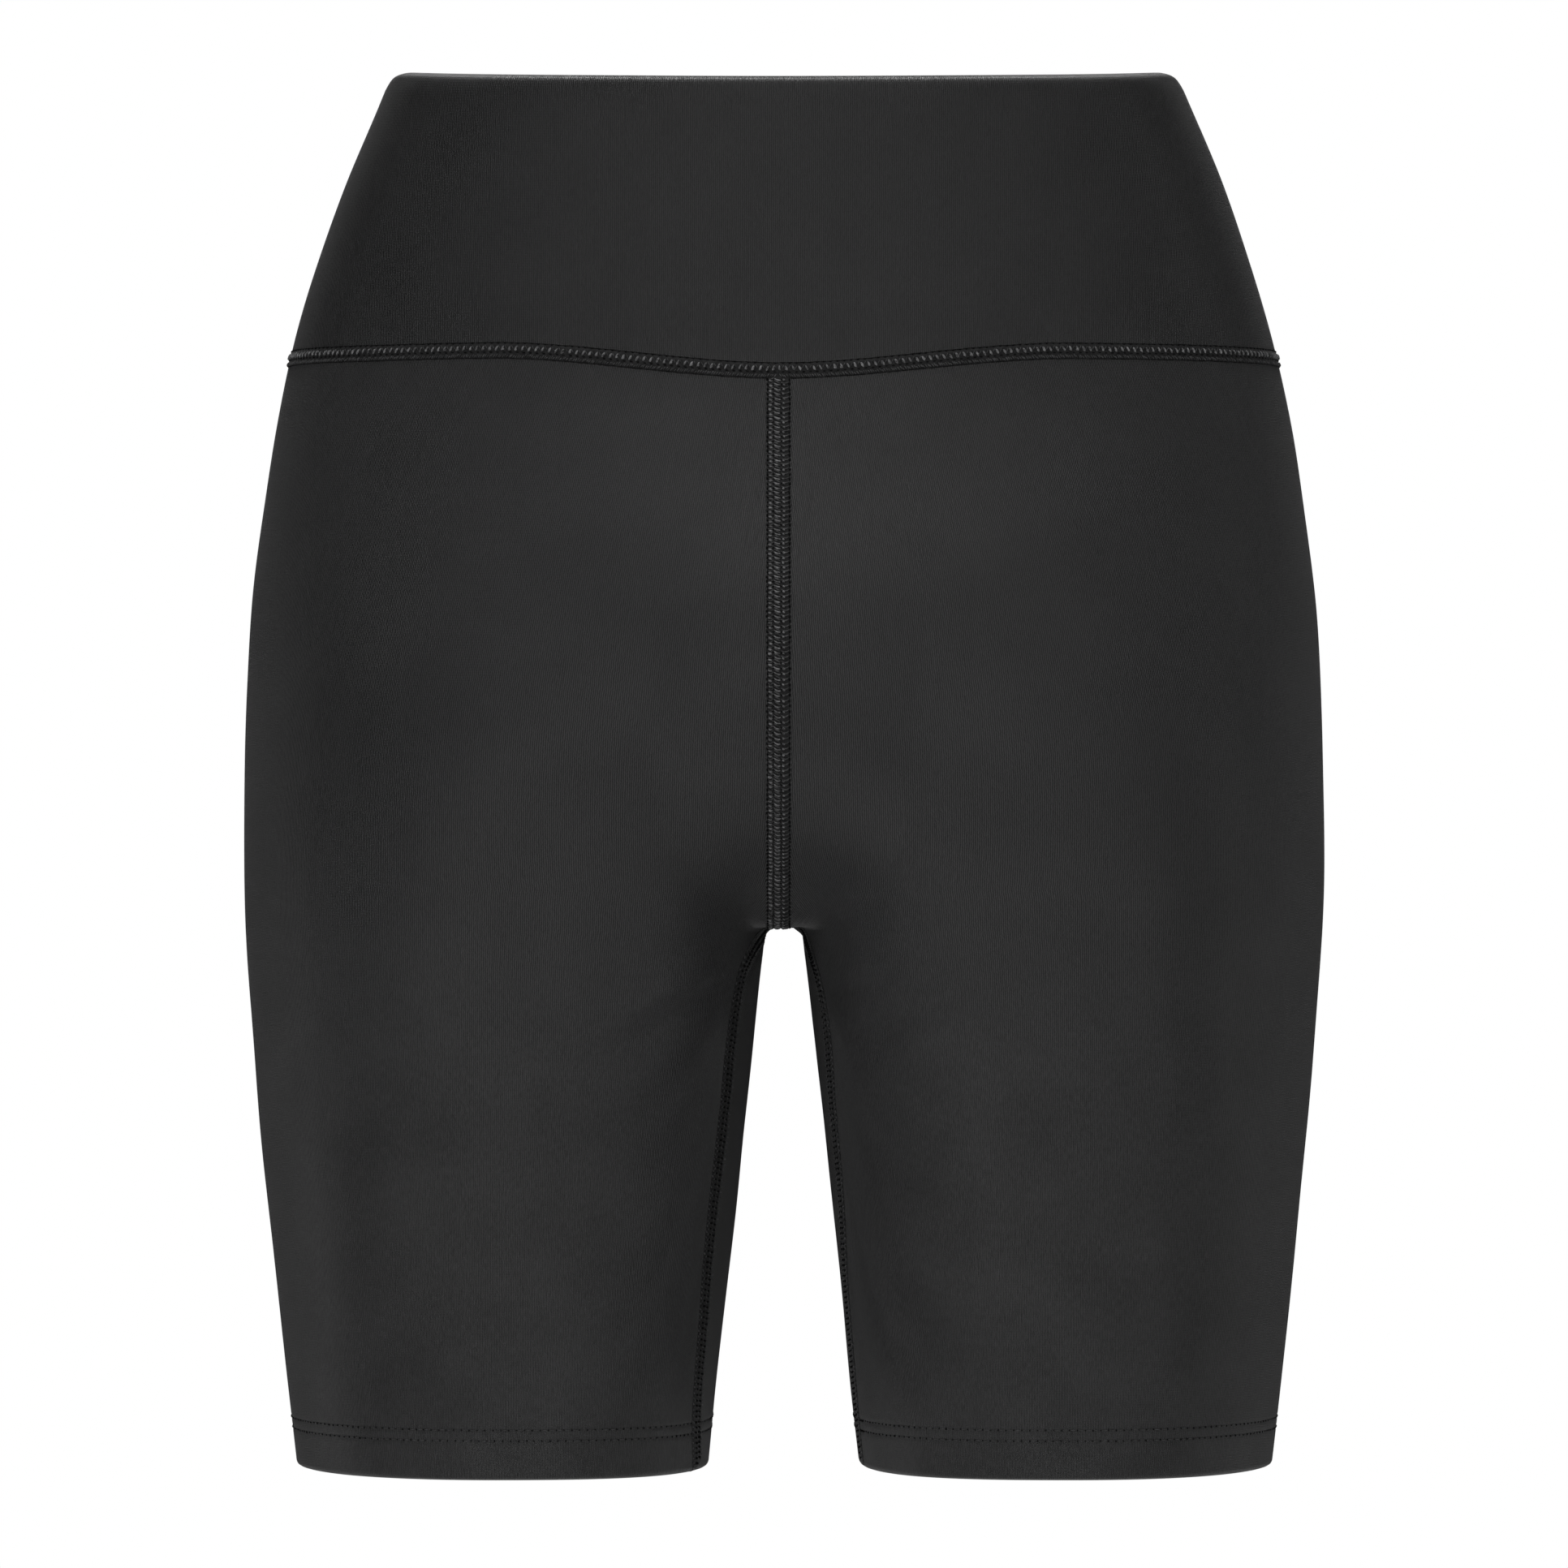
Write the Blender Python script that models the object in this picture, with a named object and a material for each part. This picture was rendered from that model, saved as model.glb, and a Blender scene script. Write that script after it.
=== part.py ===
"""High-waist running shorts, filled out as if worn, with nobody in them.

Four cloth panels: the back and the front of the waistband, and one panel round each leg. Each is a
closed cloth wall. Its outer face lies on a smooth garment form that is worked out from the section
tables below, and its inner face lies one cloth thickness inside.

The tables are in millimetres. +Z is up, +X is to the right of someone who looks at the back of the
shorts, and -Y is the back. The origin is the centre of the waist opening, level with the top edge at
the sides.
"""

from collections import namedtuple

import bpy
import numpy as np

MM = 0.001

# Cloth walls and seams.
JERSEY_THICKNESS = 1.2
BAND_THICKNESS = 2.2
HEM_THICKNESS = 2.4
SEAM_GAP = 0.3

# Levels of the waist edge, the yoke seam, the crotch and the hem.
WAIST_Z = 0.0
YOKE_Z = -90.0
CROTCH_Z = -267.8
HEM_Z = -436.6
HEM_DEPTH = 17.0
BACK_WAIST_DIP = 5.5
FRONT_WAIST_DIP = 4.0
WAIST_DIP_POWER = 1.7
WAIST_DEPTH_RATIO = 0.45
BACK_YOKE_DIP = 6.7
FRONT_YOKE_DIP = 5.0
YOKE_DIP_REACH = 91.0

# Where the four panels' seams meet, and how the seat turns under above it: where the turn starts, how
# far in front of the seat the slope meets the crotch level, its tilt in degrees, and how soft both are.
CENTRE_SEAM_X = -1.6
CROTCH_Y = -14.0
SEAT_TURN = 57.0
SLOPE_DEPTH = 33.0
SLOPE_TILT = 40.0
SLOPE_BLEND = 12.0
UNDER_BLEND = 5.0

# Where the plain oval of the waist turns into two legs side by side.
OVAL_ENDS_Z = -120.0
LEGS_BEGIN_Z = -215.0
OVAL_POWER = 2.2
LEG_POWER = 2.1
SEAT_BLEND = 40.0
SEAT_BLEND_ENDS_Z = -256.0
FORK_BLEND = 1.6
CLEFT_BLEND = 18.0
FORK_REACH = 60.0
CLEFT_REACH = 100.0
BRIDGE_WIDTH = 40.0
BRIDGE_RISE = 10.0

# Past the form on every side, where a line from its middle has surely left it.
REACH = 260.0

# How finely the form is measured, and limits that keep its slopes from running away at its middle.
SLOPE_STEP = 0.05
LEAST_SIZE = 0.05
LEAST_SLOPE = 1e-6
LEAST_STEEPNESS = 0.05
LEAST_TURN = 0.5
HALVINGS = 28
LEVEL_ROUNDS = 6
SEAM_SAMPLES = 60
FORK_SAMPLES = 12
INSEAM_SAMPLES = 120
RING_SAMPLES = 400

# A plain oval that gives the yoke line its first bearings, and the part of a leg's round, to each side
# of its middle, whose rows start out level.
YOKE_HALF_WIDTH = 150.0
YOKE_HALF_DEPTH = 90.0
LEVEL_MIDDLE = 0.15

# Columns of panel quads from the centre back to the centre front, and rows from yoke to hem.
LEG_COLUMNS = 34
RISE_ROWS = 19
INSEAM_ROWS = 12
BAND_ROWS = 6
SIDE_SEAM_COLUMN = 19
RISE_GROWTH = 1.4
INSEAM_GROWTH = 1.1
RELAX_ROUNDS = 80
SHARP_ANGLE = 40

Outline = namedtuple("Outline", "z half_width")
OUTLINE = (
    Outline(0, 123.2),
    Outline(-10, 127.5),
    Outline(-35, 138.3),
    Outline(-61, 147.1),
    Outline(-87, 154.5),
    Outline(-112, 159.9),
    Outline(-138, 163.7),
    Outline(-163, 166.5),
    Outline(-189, 168.0),
    Outline(-215, 169.1),
    Outline(-253, 169.1),
    Outline(-278, 168.0),
    Outline(-304, 166.1),
    Outline(-342, 162.7),
    Outline(-381, 158.9),
    Outline(-406, 156.1),
    Outline(-437, 152.3),
)

Torso = namedtuple("Torso", "z widest back front")
TORSO = (
    Torso(0, 0, -71, 86),
    Torso(-50, 0, -72, 91),
    Torso(-98, -1, -80, 94),
    Torso(-125, -3, -92, 95),
    Torso(-150, -4, -103, 95),
    Torso(-185, -7, -112.5, 93),
    Torso(-215, -10, -114.5, 90),
    Torso(-270, -14, -113.5, 86),
)

# The inner power is how square the inner half of a leg is, where 2 is a plain oval.
Leg = namedtuple("Leg", "z inner back front inner_power")
LEG = (
    Leg(-120, -120, -92, 97, 2.1),
    Leg(-165, -85, -109.5, 96, 2.1),
    Leg(-190, -63, -115.5, 94.5, 2.2),
    Leg(-215, -40, -118.5, 92, 2.4),
    Leg(-240, -14, -118, 88, 2.8),
    Leg(-258, 1.5, -115.5, 85, 3.2),
    Leg(-268.6, 5.6, -114, 83, 3.4),
    Leg(-278, 6.9, -112, 81.5, 3.4),
    Leg(-304, 9.4, -107, 78, 3.3),
    Leg(-342, 13.8, -101, 72, 3.1),
    Leg(-381, 17.9, -95, 67, 2.9),
    Leg(-437, 23.7, -88.5, 62, 2.6),
)

# How far the inner leg seam lies from the innermost line of its leg, seen from the back.
Inseam = namedtuple("Inseam", "z left right")
INSEAM = (
    Inseam(-270.4, 0.4, 0.4),
    Inseam(-275, 3.0, 1.2),
    Inseam(-280, 5.1, 2.2),
    Inseam(-290, 6.5, 3.6),
    Inseam(-302, 7.1, 4.1),
    Inseam(-322, 6.7, 3.5),
    Inseam(-345, 6.5, 3.0),
    Inseam(-382, 6.0, 1.8),
    Inseam(-419, 5.1, 1.0),
    Inseam(-437, 3.4, 0.7),
)

# Level rows near a folded edge: their distance from it, and how far the fold turns in there.
FoldRow = namedtuple("FoldRow", "distance inset")
WAIST_FOLD = (
    FoldRow(0.0, 0.95),
    FoldRow(0.3, 0.35),
    FoldRow(1.1, 0.0),
)
HEM_FOLD = (
    FoldRow(17.6, 0.0),
    FoldRow(16.8, 0.0),
    FoldRow(8.5, 0.0),
    FoldRow(1.1, 0.0),
    FoldRow(0.3, 0.35),
    FoldRow(0.0, 0.95),
)

Finish = namedtuple("Finish", "name colour roughness")
BAND_CLOTH = Finish("band_cloth", (0.020, 0.020, 0.021, 1), 0.75)
LEG_CLOTH = Finish("leg_cloth", (0.026, 0.026, 0.027, 1), 0.75)


def curve(table, column):
    """A smooth function of height through one column of a table."""
    rows = sorted(table, key=lambda row: row.z)
    z = np.array([row.z for row in rows], float)
    value = np.array([getattr(row, column) for row in rows], float)
    slope = np.gradient(value, z)

    def at(height):
        left = np.clip(np.searchsorted(z, height) - 1, 0, len(z) - 2)
        span = z[left + 1] - z[left]
        t = np.clip((height - z[left]) / span, 0, 1)
        rest = 1 - t
        return (
            rest * rest * (1 + 2 * t) * value[left]
            + t * t * (3 - 2 * t) * value[left + 1]
            + span * t * rest * (rest * slope[left] - t * slope[left + 1])
        )

    return at


half_width = curve(OUTLINE, "half_width")
widest = curve(TORSO, "widest")
torso_back = curve(TORSO, "back")
torso_front = curve(TORSO, "front")
leg_inner = curve(LEG, "inner")
leg_back = curve(LEG, "back")
leg_front = curve(LEG, "front")
inner_power = curve(LEG, "inner_power")


def smoothstep(value, start, end):
    t = np.clip((value - start) / (end - start), 0, 1)
    return t * t * (3 - 2 * t)


def smooth_min(a, b, reach):
    """The smaller of two distances, with the corner between them filled over this reach."""
    near = np.clip(reach - np.abs(a - b), 0, None)
    return np.minimum(a, b) - near * near / (4 * reach)


def smooth_max(a, b, reach):
    """The larger of two distances, with the edge between them softened over this reach."""
    return -smooth_min(-a, -b, reach)


def seat_slope(torso, z):
    """Distance outside the torso where it slopes in towards the crotch, at the back and the front."""
    tilt = np.radians(SLOPE_TILT)
    slope = (torso + SLOPE_DEPTH) * np.cos(tilt) + (CROTCH_Z - z) * np.sin(tilt)
    return smooth_max(torso, slope, SLOPE_BLEND)


def oval(x, y, half, middle, back, front, power):
    """About how far a point lies outside a level oval with its own depth at the back and the front."""
    depth = np.where(y < middle, middle - back, front - middle)
    across = np.abs(x) / half
    along = np.abs(y - middle) / depth
    size = np.maximum((across**power + along**power) ** (1 / power), LEAST_SIZE)
    slope = np.hypot(across ** (power - 1) / half, along ** (power - 1) / depth)
    return (size - 1) / (slope * size ** (1 - power) + LEAST_SLOPE)


def garment(points):
    """How far each point lies outside the filled-out form of the shorts, below zero inside it."""
    x, y, z = points[..., 0], points[..., 1], points[..., 2]
    middle = widest(z)
    outer = half_width(z)
    torso = oval(x, y, outer, middle, torso_back(z), torso_front(z), OVAL_POWER)
    inner = leg_inner(z)
    centre = (outer + inner) / 2
    size = ((outer - inner) / 2, middle, leg_back(z), leg_front(z))
    right = oval(x - centre, y, *size, np.where(x < centre, inner_power(z), LEG_POWER))
    left = oval(x + centre, y, *size, np.where(x > -centre, inner_power(z), LEG_POWER))
    seat = FORK_BLEND + (SEAT_BLEND - FORK_BLEND) * smoothstep(z, SEAT_BLEND_ENDS_Z, LEGS_BEGIN_Z)
    legs = smooth_min(right, left, seat)
    fork = smooth_max(seat_slope(torso, z), CROTCH_Z - z, UNDER_BLEND)
    fork = fork + BRIDGE_RISE * (x / BRIDGE_WIDTH) ** 4
    away = smoothstep(np.abs(y - CROTCH_Y), FORK_REACH, CLEFT_REACH)
    legs = smooth_min(legs, fork, FORK_BLEND + (CLEFT_BLEND - FORK_BLEND) * away)
    share = smoothstep(-z, -OVAL_ENDS_Z, -LEGS_BEGIN_Z)
    return torso * (1 - share) + legs * share


def gradient(points):
    steps = SLOPE_STEP * np.eye(3)
    slopes = [garment(points + step) - garment(points - step) for step in steps]
    return np.stack(slopes, axis=-1) / (2 * SLOPE_STEP)


def normals(points):
    slope = gradient(points)
    return slope / np.linalg.norm(slope, axis=-1, keepdims=True)


def settle(points, rounds=4):
    """Moves points onto the form along its slope."""
    for _ in range(rounds):
        slope = gradient(points)
        steep = (slope * slope).sum(axis=-1, keepdims=True)
        points = points - slope * garment(points)[..., None] / np.maximum(steep, LEAST_STEEPNESS)
    return points


def meet(inside, outside):
    """The points where lines from inside the form to outside it cross its surface."""
    low = np.zeros(inside.shape[:-1] + (1,))
    high = np.ones_like(low)
    for _ in range(HALVINGS):
        mid = (low + high) / 2
        within = garment(inside + (outside - inside) * mid)[..., None] < 0
        low = np.where(within, mid, low)
        high = np.where(within, high, mid)
    return inside + (outside - inside) * low


def spread(points, count, growth=0.0, trim=0.0):
    """The same line with count + 1 points, closer together at its start where growth is over 0."""
    steps = np.linalg.norm(np.diff(points, axis=0), axis=1)
    along = np.concatenate(([0.0], np.cumsum(steps)))
    share = np.linspace(0, 1, count + 1)
    if growth:
        share = np.expm1(growth * share) / np.expm1(growth)
    at = trim + share * (along[-1] - 2 * trim)
    return np.stack([np.interp(at, along, axis) for axis in points.T], axis=-1)


def line_points(x, y, z):
    return np.stack(np.broadcast_arrays(x, y, z), axis=-1).astype(float)


def waist_level(x, y):
    """Height of the waist edge at this bearing, level at the sides and lower at the back and front."""
    dip = np.where(y < 0, BACK_WAIST_DIP, FRONT_WAIST_DIP)
    return WAIST_Z - dip * (np.abs(y) / np.hypot(WAIST_DEPTH_RATIO * x, y)) ** WAIST_DIP_POWER


def yoke_level(x, y):
    """Height of the yoke seam, level round the sides with a soft dip at the centre back and front."""
    dip = np.where(y < 0, BACK_YOKE_DIP, FRONT_YOKE_DIP)
    near = np.clip(1 - np.abs(x) / YOKE_DIP_REACH, 0, 1)
    return YOKE_Z - dip * near * near * (3 - 2 * near)


def centre_seam(x, front):
    """Half of the centre seam, from the crotch point up to the yoke seam."""
    toward = 1 if front else -1
    turn_z = CROTCH_Z + SEAT_TURN
    angle = np.linspace(np.pi / 2, 0, SEAM_SAMPLES)
    hub = line_points(x, CROTCH_Y, np.full(SEAM_SAMPLES, turn_z))
    away = line_points(x, CROTCH_Y + toward * REACH * np.cos(angle), turn_z - REACH * np.sin(angle))
    under = meet(hub, away)
    z = np.linspace(turn_z, yoke_level(x, toward), SEAM_SAMPLES)
    above = meet(line_points(x, CROTCH_Y, z), line_points(x, CROTCH_Y + toward * REACH, z))
    return np.concatenate([under, above[1:]])


def inseam_points(side, z):
    """Points of the inner leg seam at these heights, in this leg's mirrored frame."""
    x = leg_inner(z) + curve(INSEAM, "right" if side > 0 else "left")(z)
    return meet(line_points(x, widest(z), z), line_points(x, widest(z) - REACH, z))


def inseam(side, crotch_point):
    """The inner leg seam from the crotch point down to the hem's turned-up edge."""
    down = inseam_points(side, np.linspace(INSEAM[0].z, HEM_Z + HEM_FOLD[0].distance, INSEAM_SAMPLES))
    share = np.linspace(0, 1, FORK_SAMPLES)[:, None]
    start = settle(crotch_point + (down[0] - crotch_point) * share)
    start[0] = crotch_point
    return np.concatenate([start, down[1:]])


def inset(line, distance):
    """The line moved sideways on the form, to the left of its own direction, square to each stretch."""
    step = np.diff(line, axis=0)
    step = step / np.linalg.norm(step, axis=1, keepdims=True)
    across = np.cross(normals(line[:-1] + np.diff(line, axis=0) / 2), step)
    before = np.concatenate([across[:1], across])
    after = np.concatenate([across, across[-1:]])
    turn = 1 + (before * after).sum(axis=1, keepdims=True)
    return line + distance * (before + after) / np.maximum(turn, LEAST_TURN)


def ring_points(x, y, z):
    """Points of the form at these bearings from its upright axis and at these heights."""
    hub = line_points(0.0, 0.0, z)
    bearing = np.stack([x, y, np.zeros_like(x)], axis=-1)
    bearing = bearing / np.linalg.norm(bearing, axis=-1, keepdims=True)
    return meet(hub, hub + REACH * bearing)


def yoke_edge(seam_x, trim=0.0):
    """Half of the yoke seam, from the centre back round the side to the centre front."""
    angle = np.linspace(-np.pi / 2, np.pi / 2, RING_SAMPLES)
    x = YOKE_HALF_WIDTH * np.cos(angle)
    y = YOKE_HALF_DEPTH * np.sin(angle)
    x[0] = x[-1] = seam_x
    z = yoke_level(x, y)
    line = x
    for _ in range(LEVEL_ROUNDS):
        line = ring_points(x, y, z)
        z = yoke_level(line[:, 0], line[:, 1])
    return spread(line, LEG_COLUMNS, trim=trim)


def leg_middle(z):
    """The middle of the right leg, and of the right half of the seat above it."""
    return (half_width(z) + np.maximum(leg_inner(z), 0)) / 2, widest(z)


def bearing_from_leg(point):
    """The bearing of a point from the middle of its leg, from 0 on the outer side."""
    centre_x, centre_y = leg_middle(point[2])
    return np.arctan2(point[1] - centre_y, point[0] - centre_x)


def around_leg(angle, z):
    """Points of the right leg at these bearings from its middle, or the mid-plane where that is nearer."""
    centre_x, centre_y = leg_middle(z)
    across = np.cos(angle)
    to_mid_plane = centre_x / np.maximum(-across, centre_x / REACH)
    reach = np.where(across < 0, to_mid_plane, REACH)
    away = line_points(centre_x + reach * across, centre_y + reach * np.sin(angle), z)
    return meet(line_points(centre_x, centre_y, z), away)


def leg_ring(side, z):
    """A level ring of the leg, from the inner leg seam round the leg and back to it."""
    start = bearing_from_leg(inseam_points(side, np.array([z]))[0])
    angle = start + np.linspace(0, 2 * np.pi, RING_SAMPLES)
    return spread(around_leg(angle, np.full(RING_SAMPLES, z)), LEG_COLUMNS, trim=SEAM_GAP / 2)


def guess(back, front, top, bottom):
    """A first grid between four edges, worked out by bearing from the middle of the leg."""
    rows, columns = len(back), len(top)
    share = np.linspace(0, 1, columns)
    grid = np.empty((rows, columns, 3))
    levels = np.linspace(top[columns // 2, 2], bottom[0, 2], rows)
    for row in range(rows):
        edge = np.where(share < 0.5, back[row, 2], front[row, 2])
        z = levels[row] + (edge - levels[row]) * smoothstep(np.abs(share - 0.5), LEVEL_MIDDLE, 0.5)
        first = bearing_from_leg(back[row])
        last = bearing_from_leg(front[row])
        first = first - 2 * np.pi if first > 0 else first
        last = last + 2 * np.pi if last < 0 else last
        grid[row] = around_leg(first + (last - first) * share, z)
    grid[:, 0], grid[:, -1], grid[0], grid[-1] = back, front, top, bottom
    return grid


def relax(grid):
    """Evens out a grid on the form while its edges stay where they are."""
    for _ in range(RELAX_ROUNDS):
        around = grid[:-2, 1:-1] + grid[2:, 1:-1] + grid[1:-1, :-2] + grid[1:-1, 2:]
        grid[1:-1, 1:-1] = settle(around / 4, rounds=1)
    grid[1:-1, 1:-1] = settle(grid[1:-1, 1:-1])
    return grid


def leg_grid(side):
    """The outer face of a leg panel, rows from yoke to hem and columns from back to front."""
    seam_x = side * CENTRE_SEAM_X
    top = yoke_edge(seam_x, trim=SEAM_GAP / 2)
    top[:, 2] -= SEAM_GAP / 2
    rings = [leg_ring(side, HEM_Z + row.distance) for row in HEM_FOLD]
    edges = []
    for front in (False, True):
        rise = centre_seam(seam_x, front)
        down = spread(inseam(side, rise[0]), INSEAM_ROWS, INSEAM_GROWTH)
        line = np.concatenate([spread(rise, RISE_ROWS, RISE_GROWTH)[::-1], down[1:]])
        line = inset(line, -SEAM_GAP / 2 if front else SEAM_GAP / 2)
        end = -1 if front else 0
        line[0], line[-1] = top[end], rings[0][end]
        edges.append(line)
    grid = relax(guess(edges[0], edges[1], top, rings[0]))
    grid = np.concatenate([grid, rings[1:]])
    grid[..., 0] *= side
    return grid


def leg_thickness(grid):
    """The wall's thickness in each row, doubled where the hem is turned up inside."""
    turned_up = grid[:, 0, 2] - HEM_Z < HEM_DEPTH
    return np.where(turned_up, HEM_THICKNESS, JERSEY_THICKNESS)


def halved(points, quads):
    """Each quad as two triangles, cut along its shorter diagonal."""
    a, b, c, d = quads.T
    first = np.linalg.norm(points[a] - points[c], axis=1)
    second = np.linalg.norm(points[b] - points[d], axis=1)
    straight = (first <= second)[:, None]
    return np.concatenate(
        [
            np.where(straight, np.stack([a, b, c], axis=1), np.stack([a, b, d], axis=1)),
            np.where(straight, np.stack([a, c, d], axis=1), np.stack([b, c, d], axis=1)),
        ]
    )


def wall(grid, thickness, inset):
    """Points and triangles of a closed cloth wall under a grid, with its thickness and inset by row."""
    rows, columns = grid.shape[:2]
    inward = -normals(grid)
    outer = grid + inward * inset[:, None, None]
    inner = grid + inward * (thickness - inset)[:, None, None]
    points = np.concatenate([outer.reshape(-1, 3), inner.reshape(-1, 3)])
    index = np.arange(rows * columns).reshape(rows, columns)
    under = index + rows * columns

    def quads(a, b):
        return np.stack([a[:-1], a[1:], b[1:], b[:-1]], axis=-1).reshape(-1, 4)

    faces = [quads(index[row + 1], index[row]) for row in range(rows - 1)]
    faces += [quads(under[row], under[row + 1]) for row in range(rows - 1)]
    faces += [quads(index[0], under[0]), quads(under[-1], index[-1])]
    faces += [quads(under[:, 0], index[:, 0]), quads(index[:, -1], under[:, -1])]
    return points, halved(points, np.concatenate(faces))


def material(finish):
    made = bpy.data.materials.get(finish.name) or bpy.data.materials.new(finish.name)
    made.use_nodes = True
    shader = made.node_tree.nodes["Principled BSDF"]
    shader.inputs["Base Color"].default_value = finish.colour
    shader.inputs["Roughness"].default_value = finish.roughness
    shader.inputs["Metallic"].default_value = 0.0
    return made


def piece(name, grid, thickness, inset, finish, collection):
    points, faces = wall(grid, thickness, inset)
    mesh = bpy.data.meshes.new(name)
    mesh.from_pydata((points * MM).tolist(), [], faces.tolist())
    mesh.shade_smooth()
    mesh.set_sharp_from_angle(angle=np.radians(SHARP_ANGLE))
    mesh.materials.append(material(finish))
    made = bpy.data.objects.new(name, mesh)
    collection.objects.link(made)
    return made


def leg_piece(name, side, collection):
    grid = leg_grid(side)
    grid = grid if side > 0 else grid[:, ::-1]
    inset = np.zeros(len(grid))
    inset[-len(HEM_FOLD) :] = [row.inset for row in HEM_FOLD]
    return piece(name, grid, leg_thickness(grid), inset, LEG_CLOTH, collection)


def band_piece(name, edge, collection):
    """A waistband half above a stretch of the yoke seam, with its folded edge at the top."""
    for end, next_in in ((0, 1), (-1, -2)):
        along = edge[next_in] - edge[end]
        edge[end] += along * SEAM_GAP / 2 / np.linalg.norm(along)
    x, y, _ = edge.T
    low = yoke_level(x, y) + SEAM_GAP / 2
    high = waist_level(x, y)
    fold = [high - row.distance for row in WAIST_FOLD]
    plain = [low + (fold[-1] - low) * share for share in np.linspace(1, 0, BAND_ROWS + 1)[1:]]
    grid = np.array([ring_points(x, y, z) for z in fold + plain])
    inset = np.zeros(len(grid))
    inset[: len(WAIST_FOLD)] = [row.inset for row in WAIST_FOLD]
    thickness = np.full(len(grid), BAND_THICKNESS)
    return piece(name, grid, thickness, inset, BAND_CLOTH, collection)


def main():
    for old in list(bpy.data.objects):
        bpy.data.objects.remove(old, do_unlink=True)
    shorts = bpy.data.collections.new("running_shorts")
    bpy.context.scene.collection.children.link(shorts)
    leg_piece("leg_left", -1, shorts)
    leg_piece("leg_right", 1, shorts)
    right = yoke_edge(CENTRE_SEAM_X)
    left = yoke_edge(-CENTRE_SEAM_X) * (-1, 1, 1)
    back = np.concatenate([left[SIDE_SEAM_COLUMN:0:-1], right[: SIDE_SEAM_COLUMN + 1]])
    front = np.concatenate([right[SIDE_SEAM_COLUMN:], left[-2 : SIDE_SEAM_COLUMN - 1 : -1]])
    band_piece("waistband_back", back, shorts)
    band_piece("waistband_front", front, shorts)


main()
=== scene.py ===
"""Dresses the running shorts: cloth panels, flatlock seams, hem stitching, studio light and camera.

The outer form is worked out from section tables, as the panels of the frame are, on a finer grid.
Lengths are in millimetres until a mesh is made. +Z is up, -Y is the back of the garment, and +X is to
the right of someone who looks at the back.
"""

from collections import namedtuple

import bpy
import numpy as np
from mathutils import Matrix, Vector

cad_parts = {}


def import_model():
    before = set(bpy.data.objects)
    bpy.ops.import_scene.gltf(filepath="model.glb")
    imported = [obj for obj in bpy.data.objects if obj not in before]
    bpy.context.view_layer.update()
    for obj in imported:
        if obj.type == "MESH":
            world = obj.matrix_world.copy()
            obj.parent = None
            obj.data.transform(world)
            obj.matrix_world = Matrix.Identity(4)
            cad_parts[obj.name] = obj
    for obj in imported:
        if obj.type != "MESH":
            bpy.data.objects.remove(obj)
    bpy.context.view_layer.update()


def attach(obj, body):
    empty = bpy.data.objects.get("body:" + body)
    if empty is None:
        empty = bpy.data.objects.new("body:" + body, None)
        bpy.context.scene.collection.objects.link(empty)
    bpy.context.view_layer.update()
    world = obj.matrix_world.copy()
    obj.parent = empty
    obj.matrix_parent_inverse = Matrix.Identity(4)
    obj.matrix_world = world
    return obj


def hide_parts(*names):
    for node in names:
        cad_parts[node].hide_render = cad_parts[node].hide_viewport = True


MM = 0.001

# Cloth walls and seams.
JERSEY_THICKNESS = 1.2
BAND_THICKNESS = 2.2
HEM_THICKNESS = 2.4
SEAM_GAP = 0.3

# Levels of the waist edge, the yoke seam, the crotch and the hem.
WAIST_Z = 0.0
YOKE_Z = -90.0
CROTCH_Z = -267.8
HEM_Z = -436.6
HEM_DEPTH = 17.0
HEM_TOP = 19.6
BACK_WAIST_DIP = 5.5
FRONT_WAIST_DIP = 4.0
WAIST_DIP_POWER = 1.7
WAIST_DEPTH_RATIO = 0.45
BACK_YOKE_DIP = 6.7
FRONT_YOKE_DIP = 5.0
YOKE_DIP_REACH = 91.0

# Where the four panels' seams meet, and how the seat turns under above it: where the turn starts, how
# far in front of the seat the slope meets the crotch level, its tilt in degrees, and how soft both are.
CENTRE_SEAM_X = -1.6
CROTCH_Y = -14.0
SEAT_TURN = 57.0
SLOPE_DEPTH = 33.0
SLOPE_TILT = 40.0
SLOPE_BLEND = 12.0
UNDER_BLEND = 5.0

# Where the plain oval of the waist turns into two legs side by side.
OVAL_ENDS_Z = -120.0
LEGS_BEGIN_Z = -215.0
OVAL_POWER = 2.2
LEG_POWER = 2.1
SEAT_BLEND = 40.0
SEAT_BLEND_ENDS_Z = -256.0
FORK_BLEND = 1.6
CLEFT_BLEND = 18.0
FORK_REACH = 60.0
CLEFT_REACH = 100.0
BRIDGE_WIDTH = 40.0
BRIDGE_RISE = 10.0

# Past the form on every side, where a line from its middle has surely left it.
REACH = 260.0

# How finely the form is measured, and limits that keep its slopes from running away at its middle.
SLOPE_STEP = 0.05
LEAST_SIZE = 0.05
LEAST_SLOPE = 1e-6
LEAST_STEEPNESS = 0.05
LEAST_TURN = 0.5
HALVINGS = 28
LEVEL_ROUNDS = 6
SEAM_SAMPLES = 60
FORK_SAMPLES = 12
INSEAM_SAMPLES = 120
RING_SAMPLES = 400

# A plain oval that gives the yoke line its first bearings, and the part of a leg's round, to each side
# of its middle, whose rows start out level.
YOKE_HALF_WIDTH = 150.0
YOKE_HALF_DEPTH = 90.0
LEVEL_MIDDLE = 0.15

# Distances from a folded edge within which cloth turns in on the level, and past which it no longer does.
LEVEL_WITHIN = 2.0
SLANTED_FROM = 9.0

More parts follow.
